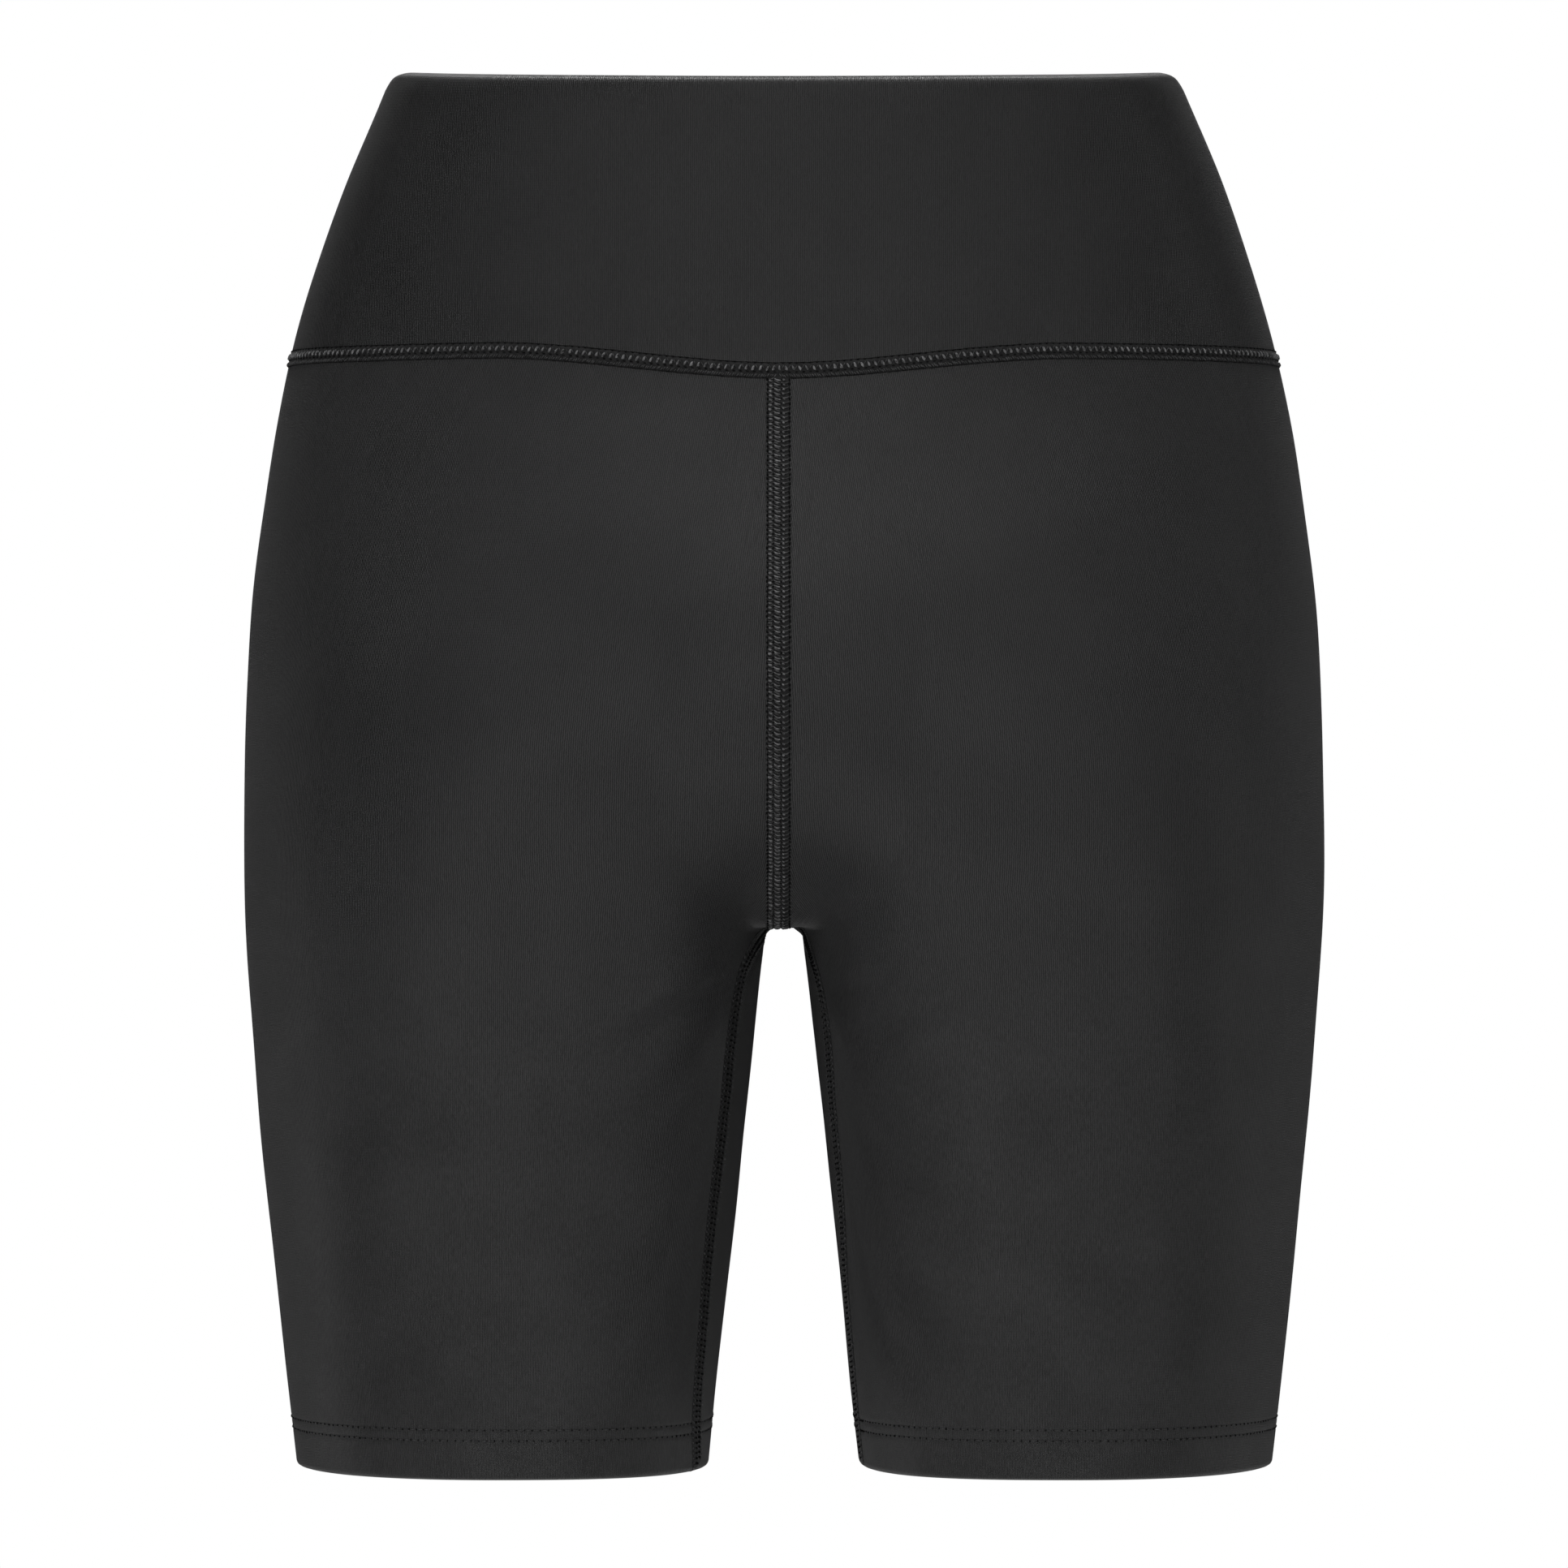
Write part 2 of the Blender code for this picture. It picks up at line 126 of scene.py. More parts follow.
# Rows of cloth beside the folded edges, as distances from them, and the turns of a fold in degrees.
# A row of the hem is of double cloth where it lies within the hem's depth and this slack.
HEM_ROWS = (*np.arange(19.2, 10.4, -0.4), 9.0, 7.0, 5.2, 3.6, 2.8, 2.2, 1.7)
WAIST_ROWS = (7.0, 5.5, 4.6, 3.8, 3.0, 2.4, 1.9, 1.5)
FOLD_TURNS = (90, 68, 46, 26, 8)
HEM_SLACK = 0.2

# Columns of panel quads from the centre back to the centre front, and rows from yoke to hem. The cloth
# has FINE steps in each of them.
LEG_COLUMNS = 34
RISE_ROWS = 19
INSEAM_ROWS = 12
SIDE_SEAM_COLUMN = 19
RISE_GROWTH = 1.4
INSEAM_GROWTH = 1.1
RELAX_ROUNDS = 80
FINE = 5
FINE_RELAX_ROUNDS = 30
BAND_ROW_STEP = 2.4

# Steps along a seam line and along the cloth laid over it.
SEAM_STEP = 1.0
RIBBON_STEP = 1.5

# Faces that meet at more than this angle, in degrees, have a sharp edge between them.
SHARP_ANGLE = 50

# Levels and bearings at which the distance round a leg is measured, how far the levels go past the
# panel's edges, and half of the arc.
WALE_LEVELS = 90
WALE_MARGIN = 1.0
WALE_BEARINGS = 361
WALE_ARC = 1.25 * np.pi


def named(fields, *rows):
    """These rows of numbers, with a name to each column."""
    row_of = namedtuple("Row", fields)
    return [row_of(*row) for row in rows]


OUTLINE = named(
    "z half_width",
    (0, 123.2),
    (-10, 127.5),
    (-35, 138.3),
    (-61, 147.1),
    (-87, 154.5),
    (-112, 159.9),
    (-138, 163.7),
    (-163, 166.5),
    (-189, 168.0),
    (-215, 169.1),
    (-253, 169.1),
    (-278, 168.0),
    (-304, 166.1),
    (-342, 162.7),
    (-381, 158.9),
    (-406, 156.1),
    (-437, 152.3),
)

TORSO = named(
    "z widest back front",
    (0, 0, -71, 86),
    (-50, 0, -72, 91),
    (-98, -1, -80, 94),
    (-125, -3, -92, 95),
    (-150, -4, -103, 95),
    (-185, -7, -112.5, 93),
    (-215, -10, -114.5, 90),
    (-270, -14, -113.5, 86),
)

# The inner power is how square the inner half of a leg is, where 2 is a plain oval.
LEG = named(
    "z inner back front inner_power",
    (-120, -120, -92, 97, 2.1),
    (-165, -85, -109.5, 96, 2.1),
    (-190, -63, -115.5, 94.5, 2.2),
    (-215, -40, -118.5, 92, 2.4),
    (-240, -14, -118, 88, 2.8),
    (-258, 1.5, -115.5, 85, 3.2),
    (-268.6, 5.6, -114, 83, 3.4),
    (-278, 6.9, -112, 81.5, 3.4),
    (-304, 9.4, -107, 78, 3.3),
    (-342, 13.8, -101, 72, 3.1),
    (-381, 17.9, -95, 67, 2.9),
    (-437, 23.7, -88.5, 62, 2.6),
)

# How far the inner leg seam lies from the innermost line of its leg, seen from the back.
INSEAM = named(
    "z left right",
    (-270.4, 0.4, 0.4),
    (-275, 3.0, 1.2),
    (-280, 5.1, 2.2),
    (-290, 6.5, 3.6),
    (-302, 7.1, 4.1),
    (-322, 6.7, 3.5),
    (-345, 6.5, 3.0),
    (-382, 6.0, 1.8),
    (-419, 5.1, 1.0),
    (-437, 3.4, 0.7),
)

# Soft creases, as straight runs seen from the back or the front, with how deep and how wide they are.
# Each is followed in steps, tapers to both ends and is worked out only for cloth within its reach. The
# cloth stands up in a ridge above it, this many widths away and of this share of its depth.
CREASE_SAMPLES = 24
CREASE_TAPER = 0.7
CREASE_REACH = 60.0
RIDGE_AWAY = 1.7
RIDGE_SHARE = 0.6
CREASES = named(
    "front x z end_x end_z depth width",
    (False, -17.0, -284.5, -46.0, -299.0, 1.1, 4.2),
    (False, -24.0, -294.0, -60.0, -307.5, 0.9, 5.0),
    (False, 18.0, -303.0, 59.0, -282.5, 1.15, 5.2),
    (False, 14.0, -289.0, 36.0, -283.0, 0.6, 4.2),
    (True, 16.0, -286.0, 52.0, -270.0, 0.9, 6.0),
    (True, -18.0, -290.0, -50.0, -277.0, 0.8, 6.0),
    (True, 22.0, -300.0, 60.0, -293.0, 0.6, 6.0),
    (True, -20.0, -262.0, -58.0, -238.0, 0.6, 7.0),
    (True, 24.0, -258.0, 64.0, -230.0, 0.7, 8.0),
)

# Long soft waves that keep the filled-out cloth from looking turned on a lathe.
WAVES = named(
    "x y z shift height",
    (0.055, 0.031, 0.047, 0.7, 0.16),
    (-0.038, 0.060, 0.071, 2.1, 0.13),
    (0.091, -0.044, -0.033, 4.0, 0.09),
    (-0.024, -0.083, 0.103, 5.2, 0.07),
)


def curve(table, column):
    """A smooth function of height through one column of a table."""
    rows = sorted(table, key=lambda row: row.z)
    z = np.array([row.z for row in rows], float)
    value = np.array([getattr(row, column) for row in rows], float)
    slope = np.gradient(value, z)

    def at(height):
        left = np.clip(np.searchsorted(z, height) - 1, 0, len(z) - 2)
        span = z[left + 1] - z[left]
        t = np.clip((height - z[left]) / span, 0, 1)
        rest = 1 - t
        return (
            rest * rest * (1 + 2 * t) * value[left]
            + t * t * (3 - 2 * t) * value[left + 1]
            + span * t * rest * (rest * slope[left] - t * slope[left + 1])
        )

    return at


half_width = curve(OUTLINE, "half_width")
widest = curve(TORSO, "widest")
torso_back = curve(TORSO, "back")
torso_front = curve(TORSO, "front")
leg_inner = curve(LEG, "inner")
leg_back = curve(LEG, "back")
leg_front = curve(LEG, "front")
inner_power = curve(LEG, "inner_power")


def smoothstep(value, start, end):
    t = np.clip((value - start) / (end - start), 0, 1)
    return t * t * (3 - 2 * t)


def smooth_min(a, b, reach):
    """The smaller of two distances, with the corner between them filled over this reach."""
    near = np.clip(reach - np.abs(a - b), 0, None)
    return np.minimum(a, b) - near * near / (4 * reach)


def smooth_max(a, b, reach):
    """The larger of two distances, with the edge between them softened over this reach."""
    return -smooth_min(-a, -b, reach)


def seat_slope(torso, z):
    """Distance outside the torso where it slopes in towards the crotch, at the back and the front."""
    tilt = np.radians(SLOPE_TILT)
    slope = (torso + SLOPE_DEPTH) * np.cos(tilt) + (CROTCH_Z - z) * np.sin(tilt)
    return smooth_max(torso, slope, SLOPE_BLEND)


def oval(x, y, half, middle, back, front, power):
    """About how far a point lies outside a level oval with its own depth at the back and the front."""
    depth = np.where(y < middle, middle - back, front - middle)
    across = np.abs(x) / half
    along = np.abs(y - middle) / depth
    size = np.maximum((across**power + along**power) ** (1 / power), LEAST_SIZE)
    slope = np.hypot(across ** (power - 1) / half, along ** (power - 1) / depth)
    return (size - 1) / (slope * size ** (1 - power) + LEAST_SLOPE)


def garment(points):
    """How far each point lies outside the filled-out form of the shorts, below zero inside it."""
    x, y, z = points[..., 0], points[..., 1], points[..., 2]
    middle = widest(z)
    outer = half_width(z)
    torso = oval(x, y, outer, middle, torso_back(z), torso_front(z), OVAL_POWER)
    inner = leg_inner(z)
    centre = (outer + inner) / 2
    size = ((outer - inner) / 2, middle, leg_back(z), leg_front(z))
    right = oval(x - centre, y, *size, np.where(x < centre, inner_power(z), LEG_POWER))
    left = oval(x + centre, y, *size, np.where(x > -centre, inner_power(z), LEG_POWER))
    seat = FORK_BLEND + (SEAT_BLEND - FORK_BLEND) * smoothstep(z, SEAT_BLEND_ENDS_Z, LEGS_BEGIN_Z)
    legs = smooth_min(right, left, seat)
    fork = smooth_max(seat_slope(torso, z), CROTCH_Z - z, UNDER_BLEND)
    fork = fork + BRIDGE_RISE * (x / BRIDGE_WIDTH) ** 4
    away = smoothstep(np.abs(y - CROTCH_Y), FORK_REACH, CLEFT_REACH)
    legs = smooth_min(legs, fork, FORK_BLEND + (CLEFT_BLEND - FORK_BLEND) * away)
    share = smoothstep(-z, -OVAL_ENDS_Z, -LEGS_BEGIN_Z)
    return torso * (1 - share) + legs * share


def gradient(points):
    steps = SLOPE_STEP * np.eye(3)
    slopes = [garment(points + step) - garment(points - step) for step in steps]
    return np.stack(slopes, axis=-1) / (2 * SLOPE_STEP)


def normals(points):
    slope = gradient(points)
    return slope / np.linalg.norm(slope, axis=-1, keepdims=True)


def off_cloth(points):
    """The direction off the cloth, square to the form but level beside a folded edge."""
    slope = gradient(points)
    to_waist = waist_level(points[..., 0], points[..., 1]) - points[..., 2]
    to_edge = np.minimum(to_waist, points[..., 2] - HEM_Z)
    slope[..., 2] *= smoothstep(to_edge, LEVEL_WITHIN, SLANTED_FROM)
    return slope / np.linalg.norm(slope, axis=-1, keepdims=True)


def settle(points, rounds=4):
    """Moves points onto the form along its slope."""
    for _ in range(rounds):
        slope = gradient(points)
        steep = (slope * slope).sum(axis=-1, keepdims=True)
        points = points - slope * garment(points)[..., None] / np.maximum(steep, LEAST_STEEPNESS)
    return points


def meet(inside, outside):
    """The points where lines from inside the form to outside it cross its surface."""
    low = np.zeros(inside.shape[:-1] + (1,))
    high = np.ones_like(low)
    for _ in range(HALVINGS):
        mid = (low + high) / 2
        within = garment(inside + (outside - inside) * mid)[..., None] < 0
        low = np.where(within, mid, low)
        high = np.where(within, high, mid)
    return inside + (outside - inside) * low


def distances(points):
    """Distance of each point of a line from its start, measured along it."""
    steps = np.linalg.norm(np.diff(points, axis=0), axis=1)
    return np.concatenate(([0.0], np.cumsum(steps)))


def along_line(at, distance, values):
    """Values of a line's points at these distances along it."""
    return np.stack([np.interp(at, distance, column) for column in values.T], axis=-1)


def spread(points, count, growth=0.0, trim=0.0):
    """The same line with count + 1 points, closer together at its start where growth is over 0."""
    distance = distances(points)
    share = np.linspace(0, 1, count + 1)
    if growth:
        share = np.expm1(growth * share) / np.expm1(growth)
    return along_line(trim + share * (distance[-1] - 2 * trim), distance, points)


def line_points(x, y, z):
    return np.stack(np.broadcast_arrays(x, y, z), axis=-1).astype(float)


def waist_level(x, y):
    """Height of the waist edge at this bearing, level at the sides and lower at the back and front."""
    dip = np.where(y < 0, BACK_WAIST_DIP, FRONT_WAIST_DIP)
    return WAIST_Z - dip * (np.abs(y) / np.hypot(WAIST_DEPTH_RATIO * x, y)) ** WAIST_DIP_POWER


def yoke_level(x, y):
    """Height of the yoke seam, level round the sides with a soft dip at the centre back and front."""
    dip = np.where(y < 0, BACK_YOKE_DIP, FRONT_YOKE_DIP)
    near = np.clip(1 - np.abs(x) / YOKE_DIP_REACH, 0, 1)
    return YOKE_Z - dip * near * near * (3 - 2 * near)


def centre_seam(x, front):
    """Half of the centre seam, from the crotch point up to the yoke seam."""
    toward = 1 if front else -1
    turn_z = CROTCH_Z + SEAT_TURN
    angle = np.linspace(np.pi / 2, 0, SEAM_SAMPLES)
    hub = line_points(x, CROTCH_Y, np.full(SEAM_SAMPLES, turn_z))
    away = line_points(x, CROTCH_Y + toward * REACH * np.cos(angle), turn_z - REACH * np.sin(angle))
    under = meet(hub, away)
    z = np.linspace(turn_z, yoke_level(x, toward), SEAM_SAMPLES)
    above = meet(line_points(x, CROTCH_Y, z), line_points(x, CROTCH_Y + toward * REACH, z))
    return np.concatenate([under, above[1:]])


def inseam_points(side, z):
    """Points of the inner leg seam at these heights, in this leg's mirrored frame."""
    x = leg_inner(z) + curve(INSEAM, "right" if side > 0 else "left")(z)
    return meet(line_points(x, widest(z), z), line_points(x, widest(z) - REACH, z))


def inseam(side, crotch_point, bottom=HEM_Z + HEM_TOP):
    """The inner leg seam from the crotch point down to this level."""
    down = inseam_points(side, np.linspace(INSEAM[0].z, bottom, INSEAM_SAMPLES))
    share = np.linspace(0, 1, FORK_SAMPLES)[:, None]
    start = settle(crotch_point + (down[0] - crotch_point) * share)
    start[0] = crotch_point
    return np.concatenate([start, down[1:]])


def inset(line, distance):
    """The line moved sideways on the form, to the left of its own direction, square to each stretch."""
    step = np.diff(line, axis=0)
    step = step / np.linalg.norm(step, axis=1, keepdims=True)
    across = np.cross(normals(line[:-1] + np.diff(line, axis=0) / 2), step)
    before = np.concatenate([across[:1], across])
    after = np.concatenate([across, across[-1:]])
    turn = 1 + (before * after).sum(axis=1, keepdims=True)
    return line + distance * (before + after) / np.maximum(turn, LEAST_TURN)


def ring_points(x, y, z):
    """Points of the form at these bearings from its upright axis and these heights."""
    hub = line_points(0.0, 0.0, z)
    bearing = np.stack([x, y, np.zeros_like(x)], axis=-1)
    bearing = bearing / np.linalg.norm(bearing, axis=-1, keepdims=True)
    return meet(hub, hub + REACH * bearing)


def yoke_edge(seam_x, count, trim=0.0):
    """Half of the yoke seam, from the centre back round the side to the centre front."""
    angle = np.linspace(-np.pi / 2, np.pi / 2, RING_SAMPLES)
    x = YOKE_HALF_WIDTH * np.cos(angle)
    y = YOKE_HALF_DEPTH * np.sin(angle)
    x[0] = x[-1] = seam_x
    z = yoke_level(x, y)
    line = x
    for _ in range(LEVEL_ROUNDS):
        line = ring_points(x, y, z)
        z = yoke_level(line[:, 0], line[:, 1])
    return spread(line, count, trim=trim)


def leg_middle(z):
    """The middle of the right leg, and of the right half of the seat above it."""
    return (half_width(z) + np.maximum(leg_inner(z), 0)) / 2, widest(z)


def bearing_from_leg(point):
    """The bearing of a point from the middle of its leg, from 0 on the outer side."""
    centre_x, centre_y = leg_middle(point[2])
    return np.arctan2(point[1] - centre_y, point[0] - centre_x)


def around_leg(angle, z):
    """Points of the right leg at these bearings from its middle, or the mid-plane where that is nearer."""
    centre_x, centre_y = leg_middle(z)
    across = np.cos(angle)
    to_mid_plane = centre_x / np.maximum(-across, centre_x / REACH)
    reach = np.where(across < 0, to_mid_plane, REACH)
    away = line_points(centre_x + reach * across, centre_y + reach * np.sin(angle), z)
    return meet(line_points(centre_x, centre_y, z), away)


def leg_ring(side, z, count):
    """A level ring of the leg, from the inner leg seam round the leg and back to it."""
    start = bearing_from_leg(inseam_points(side, np.array([z]))[0])
    angle = start + np.linspace(0, 2 * np.pi, RING_SAMPLES)
    return spread(around_leg(angle, np.full(RING_SAMPLES, z)), count, trim=SEAM_GAP / 2)


def guess(back, front, top, bottom):
    """A first grid between four edges, worked out by bearing from the middle of the leg."""
    rows, columns = len(back), len(top)
    share = np.linspace(0, 1, columns)
    grid = np.empty((rows, columns, 3))
    levels = np.linspace(top[columns // 2, 2], bottom[0, 2], rows)
    for row in range(rows):
        edge = np.where(share < 0.5, back[row, 2], front[row, 2])
        z = levels[row] + (edge - levels[row]) * smoothstep(np.abs(share - 0.5), LEVEL_MIDDLE, 0.5)
        first = bearing_from_leg(back[row])
        last = bearing_from_leg(front[row])
        first = first - 2 * np.pi if first > 0 else first
        last = last + 2 * np.pi if last < 0 else last
        grid[row] = around_leg(first + (last - first) * share, z)
    return grid


def finer(grid):
    """The same grid with FINE rows in place of each one."""
    at = np.linspace(0, len(grid) - 1, (len(grid) - 1) * FINE + 1)
    low = np.minimum(at.astype(int), len(grid) - 2)
    part = (at - low)[:, None, None]
    return grid[low] * (1 - part) + grid[low + 1] * part


def relax(grid, edges, rounds):
    """Evens out a grid on the form between four edges that stay where they are."""
    grid[:, 0], grid[:, -1], grid[0], grid[-1] = edges
    for _ in range(rounds):
        around = grid[:-2, 1:-1] + grid[2:, 1:-1] + grid[1:-1, :-2] + grid[1:-1, 2:]
        grid[1:-1, 1:-1] = settle(around / 4, rounds=1)
    grid[1:-1, 1:-1] = settle(grid[1:-1, 1:-1])
    return grid


def leg_edges(side, fine):
    """The back, front, top and bottom edges of a leg panel, with this many steps to a CAD step."""
    seam_x = side * CENTRE_SEAM_X
    top = yoke_edge(seam_x, LEG_COLUMNS * fine, trim=SEAM_GAP / 2)
    top[:, 2] -= SEAM_GAP / 2
    bottom = leg_ring(side, HEM_Z + HEM_TOP, LEG_COLUMNS * fine)
    edges = []
    for front in (False, True):
        rise = centre_seam(seam_x, front)
        down = spread(inseam(side, rise[0]), INSEAM_ROWS * fine, INSEAM_GROWTH)
        line = np.concatenate([spread(rise, RISE_ROWS * fine, RISE_GROWTH)[::-1], down[1:]])
        line = inset(line, -SEAM_GAP / 2 if front else SEAM_GAP / 2)
        end = -1 if front else 0
        line[0], line[-1] = top[end], bottom[end]
        edges.append(line)
    return edges[0], edges[1], top, bottom


def folded_rows(thickness, plain):
    """Plain rows and those round a folded edge, as distances from it, and how far each turns in."""
    turn = np.radians(FOLD_TURNS)
    radius = thickness / 2
    distance = np.concatenate([plain, radius * (1 - np.cos(turn))])
    turned_in = np.concatenate([np.zeros(len(plain)), radius * (1 - np.sin(turn))])
    return distance, turned_in


def leg_grid(side):
    """The outer face of a leg panel, rows from yoke to hem and columns from back to front."""
    coarse_edges = leg_edges(side, 1)
    coarse = relax(guess(*coarse_edges), coarse_edges, RELAX_ROUNDS)
    fine = finer(finer(coarse).swapaxes(0, 1)).swapaxes(0, 1)
    grid = relax(settle(fine), leg_edges(side, FINE), FINE_RELAX_ROUNDS)
    distance, _ = folded_rows(HEM_THICKNESS, HEM_ROWS)
    rings = [leg_ring(side, HEM_Z + row, LEG_COLUMNS * FINE) for row in distance]
    grid = np.concatenate([grid, rings])
    grid[..., 0] *= side
    return grid


# How far the cloth has rolled in, the second row, at these distances from the waist edge and the hem.
WAIST_ROLL = ((0.0, 0.3, 0.8, 1.4, 2.2, 3.8, 5.5), (3.6, 2.8, 1.8, 1.1, 0.6, 0.2, 0.0))
HEM_ROLL = ((0.0, 0.3, 0.8, 1.5), (1.3, 0.6, 0.2, 0.0))

# Distances of the two needle rows from the hem's edge, and the shape of the groove they pull.
NEEDLE_ROWS = (15.5, 12.2)
GROOVE_DEPTH = 0.14
GROOVE_WIDTH = 0.7


def crease_line(crease):
    """Points of the form under a crease, and how strong the crease is there."""
    share = np.linspace(0, 1, CREASE_SAMPLES)
    x = crease.x + (crease.end_x - crease.x) * share
    z = crease.z + (crease.end_z - crease.z) * share
    hub = line_points(x, widest(z), z)
    toward = REACH if crease.front else -REACH
    return meet(hub, hub + (0, toward, 0)), np.sin(np.pi * share) ** CREASE_TAPER


CREASE_LINES = [(crease, *crease_line(crease)) for crease in CREASES]


def relief(points):
    """How far the cloth stands off the plain form, with its waves, creases, grooves and rolled edges."""
    flat = points.reshape(-1, 3)
    height = sum(
        wave.height * np.sin(flat @ np.array([wave.x, wave.y, wave.z]) + wave.shift) for wave in WAVES
    )
    for crease, line, strength in CREASE_LINES:
        near = np.flatnonzero(np.abs(flat - line.mean(axis=0)).max(axis=1) < CREASE_REACH)
        apart = flat[near][:, None] - line
        away = np.linalg.norm(apart, axis=-1)
        closest = away.argmin(axis=1)
        away = away[np.arange(len(near)), closest]
        above = apart[np.arange(len(near)), closest, 2]
        trough = np.exp(-((away / crease.width) ** 2))
        ridge = np.exp(-(((away - RIDGE_AWAY * crease.width) / crease.width) ** 2)) * (above > 0)
        height[near] += crease.depth * strength[closest] * (RIDGE_SHARE * ridge - trough)
    above_hem = flat[:, 2] - HEM_Z
    for row in NEEDLE_ROWS:
        height -= GROOVE_DEPTH * np.exp(-(((above_hem - row) / GROOVE_WIDTH) ** 2))
    height -= np.interp(above_hem, *HEM_ROLL)
    height -= np.interp(waist_level(flat[:, 0], flat[:, 1]) - flat[:, 2], *WAIST_ROLL)
    return height.reshape(points.shape[:-1])


def on_cloth(points, height=0.0):
    """Points near the form, moved onto the creased cloth and then this far off it."""
    points = settle(points, rounds=2)
    return points + off_cloth(points) * (relief(points) + height)[..., None]


Seam = namedtuple("Seam", "distance points across")


def seam_on(line, closed=False):
    """A seam line on the form with the direction across it at each point."""
    count = int(round(distances(line)[-1] / SEAM_STEP))
    points = settle(spread(line, count))
    forward = np.gradient(points, axis=0)
    if closed:
        forward[0] = forward[-1] = points[1] - points[-2]
    across = np.cross(normals(points), forward)
    across = across / np.linalg.norm(across, axis=1, keepdims=True)
    return Seam(distances(points), points, across)


def seam_points(seam, along, across, height):
    """Points at these distances along a seam, across it and off the cloth."""
    along, across, height = np.broadcast_arrays(along, across, height)
    base = along_line(along, seam.distance, seam.points)
    side = along_line(along, seam.distance, seam.across)
    return on_cloth(base + side * across[..., None], height)


def placed(name, data):
    """A new object of this data in the scene."""
    made = bpy.data.objects.new(name, data)
    bpy.context.scene.collection.objects.link(made)
    return made


class Shape:
    """Points, faces and flat coordinates of a mesh in the making, with a material to each face."""

    def __init__(self):
        self.points = []
        self.faces = []
        self.looks = []
        self.flat = []
        self.count = 0

    def add(self, points, faces, look=0, flat=None):
        points = points.reshape(-1, 3)
        flat = points[:, :2] if flat is None else flat.reshape(-1, 2)
        self.points.append(points)
        self.flat.append(flat)
        for group in faces:
            group = np.asarray(group) + self.count
            self.faces.extend(group.tolist())
            self.looks.extend([look] * len(group))
        self.count += len(points)

    def object(self, name, materials):
        mesh = bpy.data.meshes.new(name)
        points = np.concatenate(self.points) * MM
        mesh.from_pydata(points.tolist(), [], self.faces)
        for material in materials:
            mesh.materials.append(material)
        mesh.polygons.foreach_set("material_index", np.array(self.looks, np.int32))
        corner = np.empty(len(mesh.loops), np.int32)
        mesh.loops.foreach_get("vertex_index", corner)
        layer = mesh.uv_layers.new(name="cut")
        layer.data.foreach_set("uv", (np.concatenate(self.flat) * MM)[corner].ravel())
        mesh.shade_smooth()
        mesh.set_sharp_from_angle(angle=np.radians(SHARP_ANGLE))
        return placed(name, mesh)


def quads_between(a, b):
    """Quads between two rows of point numbers."""
    return np.stack([a[:-1], a[1:], b[1:], b[:-1]], axis=-1)


def wall(grid, thickness, turned_in, flat):
    """A closed cloth wall under a grid, with its thickness and how far its edge turns in by row."""
    rows, columns = grid.shape[:2]
    outward = off_cloth(grid)
    grid = grid + outward * relief(grid)[..., None]
    outer = grid - outward * turned_in[:, None, None]
    inner = grid - outward * (thickness - turned_in)[:, None, None]
    index = np.arange(rows * columns).reshape(rows, columns)
    under = index + rows * columns
    faces = [quads_between(index[row + 1], index[row]) for row in range(rows - 1)]
    faces += [quads_between(under[row], under[row + 1]) for row in range(rows - 1)]
    faces += [quads_between(index[0], under[0]), quads_between(under[-1], index[-1])]
    faces += [quads_between(under[:, 0], index[:, 0]), quads_between(index[:, -1], under[:, -1])]
    shape = Shape()
    shape.add(np.concatenate([outer, inner]), faces, flat=np.concatenate([flat, flat]))
    return shape


def flat_places(grid, middle):
    """Where each grid point lay on the flat cloth, across from the middle column and down from the top."""
    steps = np.linalg.norm(np.diff(grid, axis=1), axis=-1)
    across = np.concatenate([np.zeros((len(grid), 1)), np.cumsum(steps, axis=1)], axis=1)
    steps = np.linalg.norm(np.diff(grid, axis=0), axis=-1)
    down = np.concatenate([np.zeros((1, grid.shape[1])), np.cumsum(steps, axis=0)])
    return np.stack([across - across[:, middle : middle + 1], -down], axis=-1)


def wales_round(grid, side):
    """How far round its level each point of a leg panel lies from the leg's outer line.

    The distances are drawn out so that the wales run upright down the middle of the back below the
    crotch, and lean in half as much as the leg's outer line does above it.
    """
    levels = np.linspace(HEM_Z - WALE_MARGIN, YOKE_Z + WALE_MARGIN, WALE_LEVELS)
    bearings = np.linspace(-WALE_ARC, WALE_ARC, WALE_BEARINGS)
    rings = np.array([around_leg(bearings, np.full(len(bearings), z)) for z in levels])
    around = np.cumsum(np.linalg.norm(np.diff(rings, axis=1, prepend=rings[:, :1]), axis=-1), axis=1)
    around = around - around[:, [np.abs(bearings).argmin()]]
    back = -around[:, np.abs(bearings + np.pi / 2).argmin()]
    drawn = np.interp(CROTCH_Z, levels, back) / back
    around = around * np.where(levels < CROTCH_Z, drawn, np.sqrt(drawn))[:, None]

    centre_x, centre_y = leg_middle(grid[..., 2])
    bearing = np.arctan2(grid[..., 1] - centre_y, side * grid[..., 0] - centre_x)
    middle = grid.shape[1] // 2
    bearing = np.unwrap(bearing, axis=1)
    bearing = bearing - 2 * np.pi * np.round(bearing[:, middle : middle + 1] / (2 * np.pi))
    row = (grid[..., 2] - levels[0]) / (levels[1] - levels[0])
    column = (bearing - bearings[0]) / (bearings[1] - bearings[0])
    low = np.clip(row.astype(int), 0, len(levels) - 2)
    left = np.clip(column.astype(int), 0, len(bearings) - 2)
    row, column = row - low, column - left
    first = around[low, left] * (1 - column) + around[low, left + 1] * column
    second = around[low + 1, left] * (1 - column) + around[low + 1, left + 1] * column
    return side * (first * (1 - row) + second * row)


